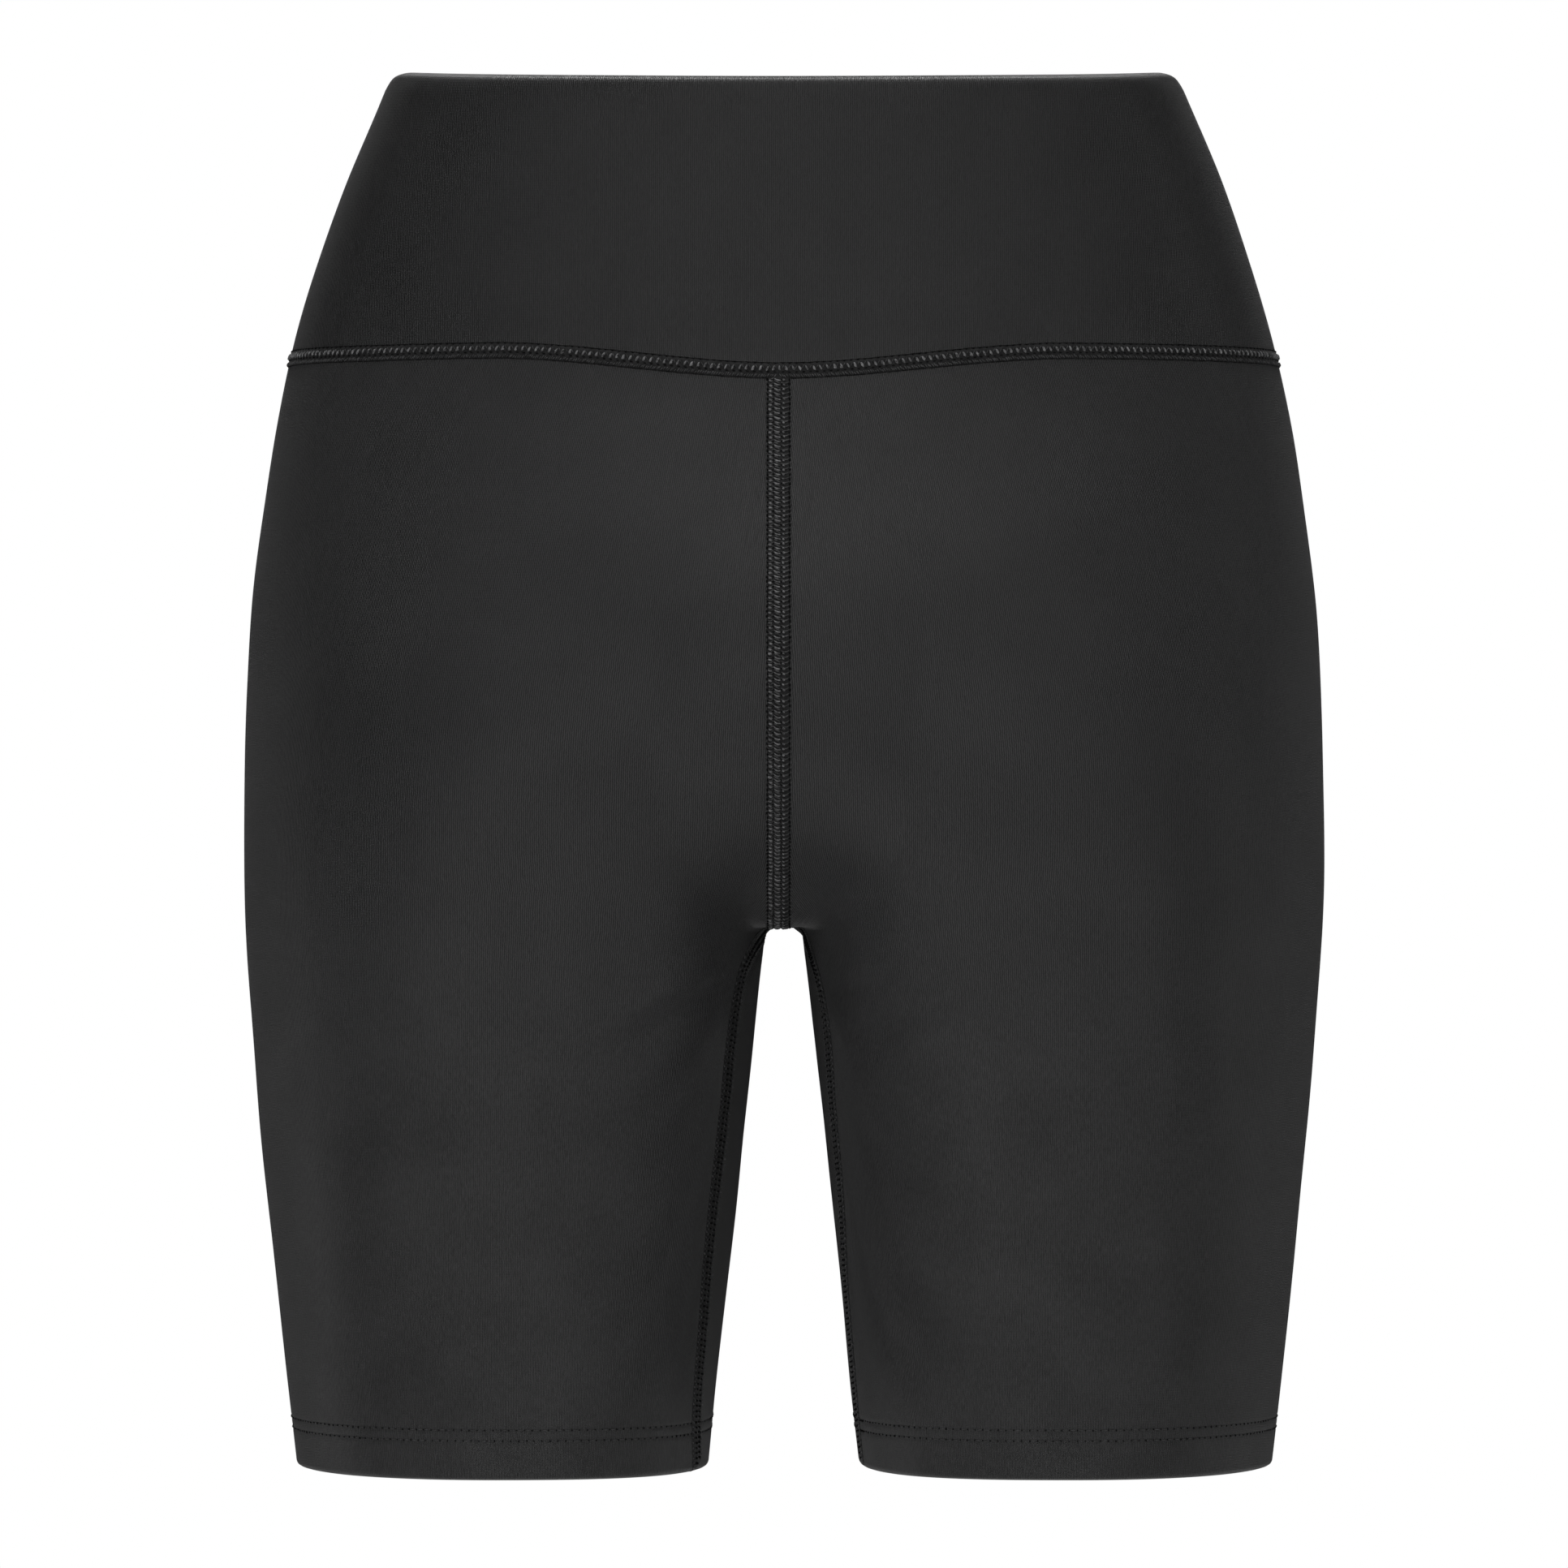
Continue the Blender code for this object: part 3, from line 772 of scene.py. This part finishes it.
def leg_cloth(name, side, material):
    """A leg panel with its turned-up hem."""
    grid = leg_grid(side)
    grid = grid if side > 0 else grid[:, ::-1]
    distance, turned = folded_rows(HEM_THICKNESS, HEM_ROWS)
    turned_in = np.zeros(len(grid))
    turned_in[-len(distance) :] = turned
    double = grid[:, 0, 2] - HEM_Z < HEM_DEPTH + HEM_SLACK
    thickness = np.where(double, HEM_THICKNESS, JERSEY_THICKNESS)
    flat = flat_places(grid, grid.shape[1] // 2)
    flat[..., 0] = wales_round(grid, side)
    return wall(grid, thickness, turned_in, flat).object(name, [material])


def band_cloth(name, edge, material):
    """A waistband half above a stretch of the yoke seam, with its folded edge at the top."""
    x, y, _ = edge.T
    low = yoke_level(x, y) + SEAM_GAP / 2
    high = waist_level(x, y)
    distance, turned = (column[::-1] for column in folded_rows(BAND_THICKNESS, WAIST_ROWS))
    rows = [high - row for row in distance]
    count = int(round(-YOKE_Z / BAND_ROW_STEP))
    rows += [low + (rows[-1] - low) * share for share in np.linspace(1, 0, count + 1)[1:]]
    grid = np.array([ring_points(x, y, z) for z in rows])
    turned_in = np.zeros(len(grid))
    turned_in[: len(turned)] = turned
    thickness = np.full(len(grid), BAND_THICKNESS)
    flat = flat_places(grid, len(x) // 2)
    return wall(grid, thickness, turned_in, flat).object(name, [material])


def ribbon(shape, seam, section, start, end, look):
    """A closed flat band along a seam between two distances, with this section across it."""
    across, height = np.array(section, float).T
    count = int(round((end - start) / RIBBON_STEP)) + 1
    along = np.linspace(start, end, count)[:, None]
    points = seam_points(seam, along, across, height)
    size = len(section)
    index = np.arange(count * size).reshape(count, size)
    ring = np.concatenate([index, index[:, :1]], axis=1)
    faces = [quads_between(ring[row], ring[row + 1]) for row in range(count - 1)]
    faces += [index[:1, ::-1], index[-1:]]
    flat = np.stack(np.broadcast_arrays(across, along), axis=-1)
    shape.add(points, faces, look, flat)


def threads(shape, paths, radius, look):
    """Round closed threads along many paths at once, thinner at both ends and each a little different."""
    count, steps = paths.shape[:2]
    forward = np.gradient(paths, axis=1)
    forward = forward / np.linalg.norm(forward, axis=-1, keepdims=True)
    side = np.cross(normals(paths), forward)
    side = side / np.linalg.norm(side, axis=-1, keepdims=True)
    up = np.cross(forward, side)
    turn = np.linspace(0, 2 * np.pi, THREAD_SIDES, endpoint=False)
    slim = np.ones(steps)
    slim[0] = slim[-1] = THREAD_TIP
    round_it = np.cos(turn)[:, None] * side[:, :, None] + np.sin(turn)[:, None] * up[:, :, None]
    uneven = 1 + THREAD_UNEVEN * RANDOM.uniform(-1, 1, (count, 1, 1, 1))
    points = paths[:, :, None] + radius * uneven * slim[:, None, None] * round_it
    index = np.arange(count * steps * THREAD_SIDES).reshape(count, steps, THREAD_SIDES)
    ring = np.concatenate([index, index[:, :, :1]], axis=2)
    walls = np.stack([ring[:, :-1, :-1], ring[:, :-1, 1:], ring[:, 1:, 1:], ring[:, 1:, :-1]], axis=-1)
    shape.add(points, [walls.reshape(-1, 4), index[:, 0, ::-1], index[:, -1]], look)


RANDOM = np.random.default_rng(seed=11)

# The sides of a round thread, how thin it is at its ends, and how much one differs from the next.
THREAD_SIDES = 5
THREAD_TIP = 0.45
THREAD_UNEVEN = 0.22

# Numbers of the materials of a seam: its cloth, its bright thread, its needle holes, which are near-black
# tubes of painted shade, and its soft thread. Both threads are lighter than the cloth, partly in their own
# grey and partly as painted glints.
FLAT, THREAD, HOLE_SHADE, SOFT = 0, 1, 2, 3

# The points of a stitch from its start to its end, and how far it bows up between them.
ARC = np.linspace(-1, 1, 5)
BOW = 1 - ARC**2

# The cloth of each seam, as distances across it and heights off the panels.
CENTRE_SECTION = (
    *((-3.55, -0.3), (-3.45, 0.0), (-2.9, 0.26), (-1.2, 0.22), (0.0, 0.26)),
    *((1.2, 0.22), (2.9, 0.26), (3.45, 0.0), (3.55, -0.3)),
)
YOKE_SECTION = (
    *((-2.75, -0.3), (-2.65, -0.02), (-2.1, 0.14), (-0.7, 0.06), (0.3, 0.25)),
    *((1.3, 0.3), (1.9, 0.16), (2.4, -0.12), (2.5, -0.35)),
)
INSEAM_SECTION = (
    *((-4.0, -0.3), (-3.9, 0.02), (-3.2, 0.22), (-1.9, 0.12), (0.0, 0.24)),
    *((1.9, 0.12), (3.2, 0.22), (3.9, 0.02), (4.0, -0.3)),
)

# Where the cloth and the stitches of each seam start and end, as distances from the ends of its line.
# An inner leg seam ends just above the hem's edge.
YOKE_THREAD_GAP = 1.0
CENTRE_GAP = 2.2
CENTRE_THREAD_START = 1.0
CENTRE_THREAD_GAP = 0.5
INSEAM_START = 2.0
INSEAM_END_Z = HEM_Z + 1.8
INSEAM_THREAD_START = 3.0
INSEAM_THREAD_GAP = 1.0

# A row of stitches: its place across the seam, how far each stitch reaches across and along the seam to
# either side of its middle, how far its middle sags back, how high its ends lie and how much higher its
# middle, its radius, by what share of a stitch the row starts late, how far out of place a stitch may
# lie, and its material. A reach below zero is a slant the other way.
STITCH = "across half along sag height bow radius phase loose look"

# The centre seams have sagging cover threads between four lines of needle holes, which are dark tubes of
# painted shade.
CENTRE_PITCH = 1.62
CENTRE_STITCHES = named(
    STITCH,
    (2.55, 0.5, 0.1, 0.22, 0.32, 0.2, 0.31, 0, 0.13, THREAD),
    (2.5, 0.8, -0.1, 0.4, 0.32, 0.2, 0.14, 0.5, 0.13, SOFT),
    (0.45, 0.95, 0.3, 0.32, 0.32, 0.2, 0.23, 0.3, 0.13, THREAD),
    (0.5, 0.85, 0.5, 0.1, 0.32, 0.2, 0.19, 0.8, 0.13, SOFT),
    (0.3, 0.7, -0.3, 0.2, 0.32, 0.2, 0.16, 0.05, 0.13, SOFT),
    (2.3, 0.7, 0.3, 0.1, 0.32, 0.2, 0.15, 0.75, 0.13, SOFT),
    (-1.95, 1.15, -0.05, 0.5, 0.32, 0.2, 0.19, 0.6, 0.13, SOFT),
    (-1.45, 0.3, 0.15, 0, 0.32, 0.2, 0.28, 0.15, 0.13, THREAD),
    (-3.3, 0, 0.42, 0, 0.14, 0.04, 0.34, 0.25, 0.1, HOLE_SHADE),
    (3.4, 0, 0.42, 0, 0.14, 0.04, 0.34, 0.25, 0.1, HOLE_SHADE),
    (1.6, 0, 0.3, 0, 0.14, 0.04, 0.27, 0.25, 0.1, HOLE_SHADE),
    (-0.75, 0, 0.3, 0, 0.14, 0.04, 0.27, 0.25, 0.1, HOLE_SHADE),
    (-3.7, 0.2, -0.3, 0, 0.16, 0.1, 0.13, 0.75, 0.1, SOFT),
    (3.8, 0.2, -0.3, 0, 0.16, 0.1, 0.13, 0.75, 0.1, SOFT),
)


def slanted(across, half, along, radius, phase, look):
    """A slanted stitch of the yoke, which lies higher the thicker it is."""
    return across, half, along, 0, 0.3 + radius / 3, 0.18, radius, phase, 0.14, look


# The slant is mirrored on the seam's two halves, which meet at the centre front.
YOKE_PITCH = 2.12
YOKE_STITCHES = named(
    STITCH,
    slanted(0.45, -0.75, 0.32, 0.3, 0, THREAD),
    slanted(0.15, -0.25, 0.05, 0.33, 0, THREAD),
    slanted(0.9, -0.5, -0.3, 0.13, 0.45, SOFT),
    slanted(-1.95, -0.5, 0.3, 0.17, 0.2, SOFT),
    slanted(-1.9, -0.45, 0.25, 0.14, 0.5, SOFT),
    slanted(-2.1, -0.35, 0.3, 0.16, 0.8, SOFT),
)
YOKE_HOLES = named(
    STITCH,
    (2.4, 0, 1.1, 0, 0.08, 0.04, 0.12, 0.5, 0.06, HOLE_SHADE),
    (2.25, 0, 0.3, 0, 0.08, 0.04, 0.22, 0.5, 0.06, HOLE_SHADE),
    (-0.7, 0, 0.45, 0, 0.08, 0.04, 0.25, 0.5, 0.06, HOLE_SHADE),
    (-2.7, 0, 1.1, 0, 0.08, 0.04, 0.1, 0, 0.06, HOLE_SHADE),
)

# The needle holes of an inner leg seam, dark tubes of painted shade, are small for this far below the
# crotch.
INSEAM_PITCH = 1.75
SMALL_HOLES_END = 9.0
INSEAM_HOLES = named(
    STITCH,
    (-1.3, 0, 0.28, 0, 0.2, 0.06, 0.54, 0, 0.06, HOLE_SHADE),
    (1.3, 0, 0.28, 0, 0.2, 0.06, 0.54, 0.5, 0.06, HOLE_SHADE),
)
SMALL_HOLES = named(
    STITCH,
    (-1.3, 0, 0.1, 0, 0.14, 0.04, 0.18, 0, 0.06, HOLE_SHADE),
    (1.3, 0, 0.1, 0, 0.14, 0.04, 0.18, 0.5, 0.06, HOLE_SHADE),
)
INSEAM_LOOPS = named(
    STITCH,
    (-3.9, 0.35, 0.34, 0, 0.26, 0.1, 0.2, 0.4, 0.12, SOFT),
    (-2.6, -0.3, 0.34, 0, 0.26, 0.1, 0.16, 0, 0.12, SOFT),
    (3.9, 0.35, 0.34, 0, 0.26, 0.1, 0.22, 0.9, 0.12, SOFT),
    (2.6, -0.3, 0.34, 0, 0.26, 0.1, 0.16, 0.5, 0.12, SOFT),
    (-0.5, 0.25, 0.34, 0, 0.26, 0.1, 0.15, 0.2, 0.12, SOFT),
    (0.5, 0.25, 0.34, 0, 0.26, 0.1, 0.15, 0.7, 0.12, SOFT),
)

# Each hem row starts and ends near the inner leg seam, where the right hem's rows overlap a little.
# Between its soft stitches lie dark tubes of painted shade where the thread pulls into the cloth, and the
# overlap is of such tubes alone.
HEM_PITCH = 2.42
HEM_START = 1.0
HEM_GAP = 1.5
OVERLAP_END = 9.5
HEM_STITCHES = named(
    STITCH,
    (0, 0, 0.7, 0, 0.03, 0.1, 0.11, 0, 0.08, SOFT),
    (0, 0, 0.14, 0, 0.02, 0.03, 0.31, 0.5, 0.08, HOLE_SHADE),
)
OVERLAP_STITCHES = named(STITCH, (-0.1, 0, 0.8, 0, 0.12, 0.1, 0.3, 0.1, 0, HOLE_SHADE))


def sew(shape, seam, start, end, pitch, stitches, toward=1):
    """Rows of stitches along a stretch of a seam, with their slant turned round where toward is -1."""
    for stitch in stitches:
        first = np.arange(start + stitch.phase * pitch, end, pitch)[:, None]
        along = first + stitch.loose * RANDOM.uniform(-1, 1, first.shape)
        across = stitch.across + stitch.half * ARC
        across = across + stitch.loose * RANDOM.uniform(-1, 1, first.shape)
        run = toward * stitch.along * ARC - stitch.sag * BOW
        paths = seam_points(seam, along + run, across, stitch.height + stitch.bow * BOW)
        threads(shape, paths, stitch.radius, stitch.look)


def yoke_stitches(shape, seam, start, end):
    """A row of long slanted stitches over a row of fine loops, with needle lines above and below, the
    holes drawn as dark tubes of painted shade.
    """
    middle = (start + end) / 2
    sew(shape, seam, start, middle, YOKE_PITCH, YOKE_STITCHES)
    sew(shape, seam, middle, end, YOKE_PITCH, YOKE_STITCHES, -1)
    sew(shape, seam, start, end, YOKE_PITCH, YOKE_HOLES)


def inseam_stitches(shape, seam, start, end):
    """Two rows of needle holes, dark tubes of painted shade that make them look deep, with small loops
    between them and along both borders.
    """
    turn = start + SMALL_HOLES_END
    for deep, small in zip(INSEAM_HOLES, SMALL_HOLES):
        sew(shape, seam, turn, end, INSEAM_PITCH, [deep])
        sew(shape, seam, start, turn, INSEAM_PITCH, [small])
    sew(shape, seam, start, end, INSEAM_PITCH, INSEAM_LOOPS)


def hem_stitches(name, side, materials):
    """Two needle rows round a hem."""
    shape = Shape()
    for row in NEEDLE_ROWS:
        ring = leg_ring(side, HEM_Z + row, RING_SAMPLES) * (side, 1, 1)
        seam = seam_on(ring, closed=True)
        sew(shape, seam, HEM_START, seam.distance[-1] - HEM_GAP, HEM_PITCH, HEM_STITCHES)
        if side > 0:
            sew(shape, seam, HEM_START, OVERLAP_END, HEM_PITCH, OVERLAP_STITCHES)
    return shape.object(name, materials)


WHITE = (1.0, 1.0, 1.0, 1.0)

# All colours are slightly blue greys.
BLUE = 1.02

# Sockets of a colour mix: its two colours and its result.
MIX_DARK, MIX_LIGHT, MIX_RESULT = 6, 7, 2

# Patterns of the cloth and the thread: how many to the metre, how detailed, and how strongly each acts.
# Two wobbles bend the wales. The slub, drawn out along them, the fuzz and the clouds mottle the cloth.
Pattern = namedtuple("Pattern", "scale detail share")
WOBBLE = Pattern(260.0, 2.0, 5.0)
FINE_WOBBLE = Pattern(1500.0, 1.0, 3.4)
SLUB = Pattern(1.0, 2.0, 1.2)
SLUB_STRETCH = (1700.0, 420.0, 1.0)
FUZZ = Pattern(2600.0, 1.0, 0.8)
CLOUD = Pattern(38.0, 3.0, 0.7)
MOTTLE = Pattern(900.0, 2.0, 0.15)
SPECKLE = Pattern(2400.0, 2.0, 0.4)

# Distances from wale to wale and from course to course in metres, how far both stand up beside the slub,
# how much the courses show, and the distances down a panel, in metres, between which its wales fade.
WALE = 0.00064
COURSE = 0.00052
WALE_HEIGHT = 0.5
COURSE_HEIGHT = 0.2
COURSE_DEPTH = 0.05
FADE_START = 0.15
FADE_END = 0.24


class Nodes:
    """Adds nodes to a material, with links given as outputs and plain numbers set on sockets."""

    def __init__(self, name):
        self.material = bpy.data.materials.new(name)
        self.material.use_nodes = True
        self.tree = self.material.node_tree
        self.shader = self.tree.nodes["Principled BSDF"]

    def add(self, kind, settings=None, **inputs):
        made = self.tree.nodes.new(kind)
        for key, value in (settings or {}).items():
            setattr(made, key, value)
        for key, value in inputs.items():
            socket = made.inputs[int(key[1:])] if key[0] == "_" else made.inputs[key.replace("_", " ")]
            self.put(socket, value)
        return made.outputs[0]

    def put(self, socket, value):
        if isinstance(value, bpy.types.NodeSocket):
            self.tree.links.new(value, socket)
        else:
            socket.default_value = value

    def math(self, operation, first, second=0.0, third=0.0):
        return self.add("ShaderNodeMath", {"operation": operation}, _0=first, _1=second, _2=third)

    def noise(self, place, pattern):
        return self.add("ShaderNodeTexNoise", Vector=place, Scale=pattern.scale, Detail=pattern.detail)

    def blend(self, factor, dark, light):
        """A colour from a dark grey at factor 0 to a light one at 1."""
        mix = self.add("ShaderNodeMix", {"data_type": "RGBA"}, _0=factor).node
        for socket, grey in ((MIX_DARK, dark), (MIX_LIGHT, light)):
            mix.inputs[socket].default_value = (grey, grey, grey * BLUE, 1.0)
        return mix.outputs[MIX_RESULT]

    def set(self, **inputs):
        for key, value in inputs.items():
            self.put(self.shader.inputs[key.replace("_", " ")], value)


def jersey(name, dark, light, depth, depth_below=None):
    """Fine single jersey with upright wales, a slight fuzz and a soft sheen.

    depth is how dark the cloth is between its wales, and depth_below the same in the less stretched
    cloth below the seat.
    """
    n = Nodes(name)
    place = n.add("ShaderNodeUVMap", {"uv_map": "cut"})
    across, up, _ = n.add("ShaderNodeSeparateXYZ", _0=place).node.outputs
    wobble = n.math("MULTIPLY", n.noise(place, WOBBLE), WOBBLE.share)
    wobble = n.math("MULTIPLY_ADD", n.noise(place, FINE_WOBBLE), FINE_WOBBLE.share, wobble)
    wales = n.math("SINE", n.math("MULTIPLY_ADD", across, 2 * np.pi / WALE, wobble))
    courses = n.math("SINE", n.math("MULTIPLY_ADD", up, 2 * np.pi / COURSE, wobble))
    slub = n.noise(n.add("ShaderNodeMapping", Vector=place, Scale=SLUB_STRETCH), SLUB)
    if depth_below is not None:
        ends = {"From_Min": -FADE_END, "From_Max": -FADE_START, "To_Min": depth_below, "To_Max": depth}
        depth = n.add("ShaderNodeMapRange", Value=up, **ends)
    factor = n.math("MULTIPLY_ADD", wales, depth, 0.5)
    factor = n.math("MULTIPLY_ADD", courses, COURSE_DEPTH, factor)
    for mottle, pattern in ((slub, SLUB), (n.noise(place, FUZZ), FUZZ), (n.noise(place, CLOUD), CLOUD)):
        factor = n.math("MULTIPLY_ADD", n.math("SUBTRACT", mottle, 0.5), pattern.share, factor)
    height = n.math("MULTIPLY_ADD", wales, WALE_HEIGHT, n.math("MULTIPLY", courses, COURSE_HEIGHT))
    height = n.math("ADD", slub, height)
    bump = n.add("ShaderNodeBump", Strength=0.9, Distance=0.0001, Height=height)
    n.set(Base_Color=n.blend(factor, dark, light), Normal=bump, Roughness=0.4, Specular_IOR_Level=0.6)
    n.set(Sheen_Weight=0.15, Sheen_Roughness=0.3, Sheen_Tint=WHITE)
    return n.material


def thread(name, dark, light, roughness, specular, sheen):
    """Twisted thread, mottled along its length. On the bright and soft threads the light patches are
    partly the thread's own grey and partly painted glints.
    """
    n = Nodes(name)
    place = n.add("ShaderNodeTexCoord").node.outputs["Object"]
    ends = {"From_Min": 0.5 - MOTTLE.share, "From_Max": 0.5 + MOTTLE.share}
    lit = n.add("ShaderNodeMapRange", Value=n.noise(place, MOTTLE), **ends)
    speckle = n.noise(place, SPECKLE)
    bump = n.add("ShaderNodeBump", Strength=SPECKLE.share, Distance=0.00008, Height=speckle)
    n.set(Base_Color=n.blend(lit, dark, light), Normal=bump)
    n.set(Roughness=roughness, Specular_IOR_Level=specular)
    n.set(Sheen_Weight=sheen, Sheen_Roughness=0.4, Sheen_Tint=WHITE)
    return n.material


def declare(piece, node=None):
    """Fixes a piece to the root body and hides the CAD part that it stands for, if one is named."""
    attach(piece, "root")
    if node:
        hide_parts(node)


# The lamps, in metres and watts, which all face one point.
LAMPS = named(
    "name x y z width height power",
    ("near", 0.0, -2.6, -0.22, 0.25, 0.25, 5.2),
    ("low_left", -2.0, -1.8, -0.75, 0.6, 0.4, 5.5),
    ("upper_left", -1.5, -1.8, 1.2, 0.8, 0.8, 6.7),
    ("upper_right", 1.5, -1.8, 1.2, 0.8, 0.8, 5.5),
    ("top", 0.0, -0.4, 2.0, 1.4, 1.4, 13.7),
    ("top_behind", 0.0, 1.0, 2.2, 1.0, 1.0, 28.8),
    ("front_right", 2.4, -1.3, 0.1, 0.6, 1.2, 2.2),
    ("side_right", 2.6, -0.4, 0.0, 0.6, 1.2, 1.4),
    ("rim_left", -1.8, 1.6, -0.4, 0.6, 1.2, 0.8),
    ("rim_right", 2.1, 1.2, -0.3, 0.6, 1.2, 1.1),
    ("fill", 0.0, 3.0, 0.6, 1.6, 1.2, 4.0),
)
LAMP_AIM = Vector((0, 0, -0.22))

CAMERA_PLACE = (0, -3.0, -0.2236)
CAMERA_LENS = 218.7

# The floor's level, half its side, its glow and its colour. The shown one lies a step above the hidden.
FLOOR_Z = -1.0
FLOOR_SIDE = 3.0
FLOOR_STEP = 0.001
FLOOR_GLOW = 0.5
FLOOR_GREY = (0.8, 0.8, 0.8, 1.0)


def area_light(lamp):
    data = bpy.data.lights.new(lamp.name, "AREA")
    data.shape = "RECTANGLE"
    data.size, data.size_y = lamp.width, lamp.height
    data.energy = lamp.power
    made = placed(lamp.name, data)
    made.location = (lamp.x, lamp.y, lamp.z)
    made.rotation_mode = "QUATERNION"
    made.rotation_quaternion = (LAMP_AIM - made.location).to_track_quat("-Z", "Y")


def floor_plane(name, z, glow):
    """A square floor at this level that glows this much, and is no part of the garment."""
    mesh = bpy.data.meshes.new(name)
    corners = [(x * FLOOR_SIDE, y * FLOOR_SIDE, z) for x, y in ((-1, -1), (1, -1), (1, 1), (-1, 1))]
    mesh.from_pydata(corners, [], [(0, 1, 2, 3)])
    pale = Nodes(name + "_paint")
    pale.set(Base_Color=FLOOR_GREY, Roughness=0.8)
    pale.set(Emission_Color=WHITE, Emission_Strength=glow)
    mesh.materials.append(pale.material)
    floor = placed(name, mesh)
    return floor


def studio():
    """A pale floor, a white surround that gives no light, the lamps and the camera."""
    world = bpy.data.worlds.new("studio")
    world.use_nodes = True
    bpy.context.scene.world = world
    backdrop = world.node_tree.nodes["Background"]
    backdrop.inputs["Color"].default_value = WHITE
    path = world.node_tree.nodes.new("ShaderNodeLightPath")
    world.node_tree.links.new(path.outputs["Is Camera Ray"], backdrop.inputs["Strength"])

    for lamp in LAMPS:
        area_light(lamp)

    # The floor that shows glows a little, so that it is pale, and casts no light on the cloth. A
    # plain one just below it gives the cloth its soft light from below.
    floor_plane("floor_below", FLOOR_Z, 0.0).visible_camera = False
    shown = floor_plane("floor", FLOOR_Z + FLOOR_STEP, FLOOR_GLOW)
    shown.visible_diffuse = shown.visible_glossy = shown.visible_shadow = False

    data = bpy.data.cameras.new("camera")
    data.lens = CAMERA_LENS
    camera = placed("camera", data)
    camera.location = CAMERA_PLACE
    camera.rotation_euler = (np.pi / 2, 0, 0)
    bpy.context.scene.camera = camera
    bpy.context.scene.view_settings.view_transform = "Standard"


def main():
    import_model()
    studio()
    band = jersey("band_jersey", 0.005, 0.036, 0.65)
    leg = jersey("leg_jersey", 0.001, 0.054, 1.1, 0.4)
    flat = thread("seam_cloth", 0.012, 0.03, 0.7, 0.3, 0.12)
    # The bright and soft threads are lighter than the cloth, partly their own grey and partly painted
    # glints.
    bright = thread("seam_thread", 0.06, 0.34, 0.4, 0.5, 0.3)
    # Near-black tubes of painted shade in the needle holes and the hem's dimples.
    dark = thread("needle_hole_shade", 0.005, 0.012, 0.8, 0.1, 0.0)
    soft = thread("seam_thread_soft", 0.03, 0.11, 0.5, 0.4, 0.2)
    looks = [flat, bright, dark, soft]

    legs = {}
    for name, side in (("leg_left", -1), ("leg_right", 1)):
        legs[name] = leg_cloth(name + "_cloth", side, leg)
        declare(legs[name], name)

    count = LEG_COLUMNS * FINE
    turn = SIDE_SEAM_COLUMN * FINE
    right = yoke_edge(CENTRE_SEAM_X, count)
    left = yoke_edge(-CENTRE_SEAM_X, count) * (-1, 1, 1)
    back = np.concatenate([left[turn:0:-1], right[: turn + 1]])
    front = np.concatenate([right[turn:], left[-2 : turn - 1 : -1]])
    bands = {}
    for name, edge in (("waistband_back", back), ("waistband_front", front)):
        bands[name] = band_cloth(name + "_cloth", edge, band)
        declare(bands[name], name)

    yoke = seam_on(np.concatenate([right, left[-2::-1]]), closed=True)
    shape = Shape()
    ribbon(shape, yoke, YOKE_SECTION, 0, yoke.distance[-1], FLAT)
    yoke_stitches(shape, yoke, 0, yoke.distance[-1] - YOKE_THREAD_GAP)
    seams = {"seam_yoke": shape.object("seam_yoke", looks)}
    for name, is_front in (("seam_centre_back", False), ("seam_centre_front", True)):
        seam = seam_on(centre_seam(CENTRE_SEAM_X, is_front))
        shape = Shape()
        end = seam.distance[-1] - CENTRE_GAP
        ribbon(shape, seam, CENTRE_SECTION, 0, end, FLAT)
        last = end - CENTRE_THREAD_GAP
        sew(shape, seam, CENTRE_THREAD_START, last, CENTRE_PITCH, CENTRE_STITCHES)
        seams[name] = shape.object(name, looks)
    for name, side in (("left", -1), ("right", 1)):
        start = centre_seam(side * CENTRE_SEAM_X, False)[0]
        seam = seam_on(inseam(side, start, INSEAM_END_Z) * (side, 1, 1))
        end = seam.distance[-1]
        shape = Shape()
        ribbon(shape, seam, INSEAM_SECTION, INSEAM_START, end, FLAT)
        inseam_stitches(shape, seam, INSEAM_THREAD_START, end - INSEAM_THREAD_GAP)
        inner, hem = "seam_inner_" + name, "hem_stitches_" + name
        seams[inner] = shape.object(inner, looks)
        seams[hem] = hem_stitches(hem, side, looks)
    for piece in seams.values():
        declare(piece)


main()
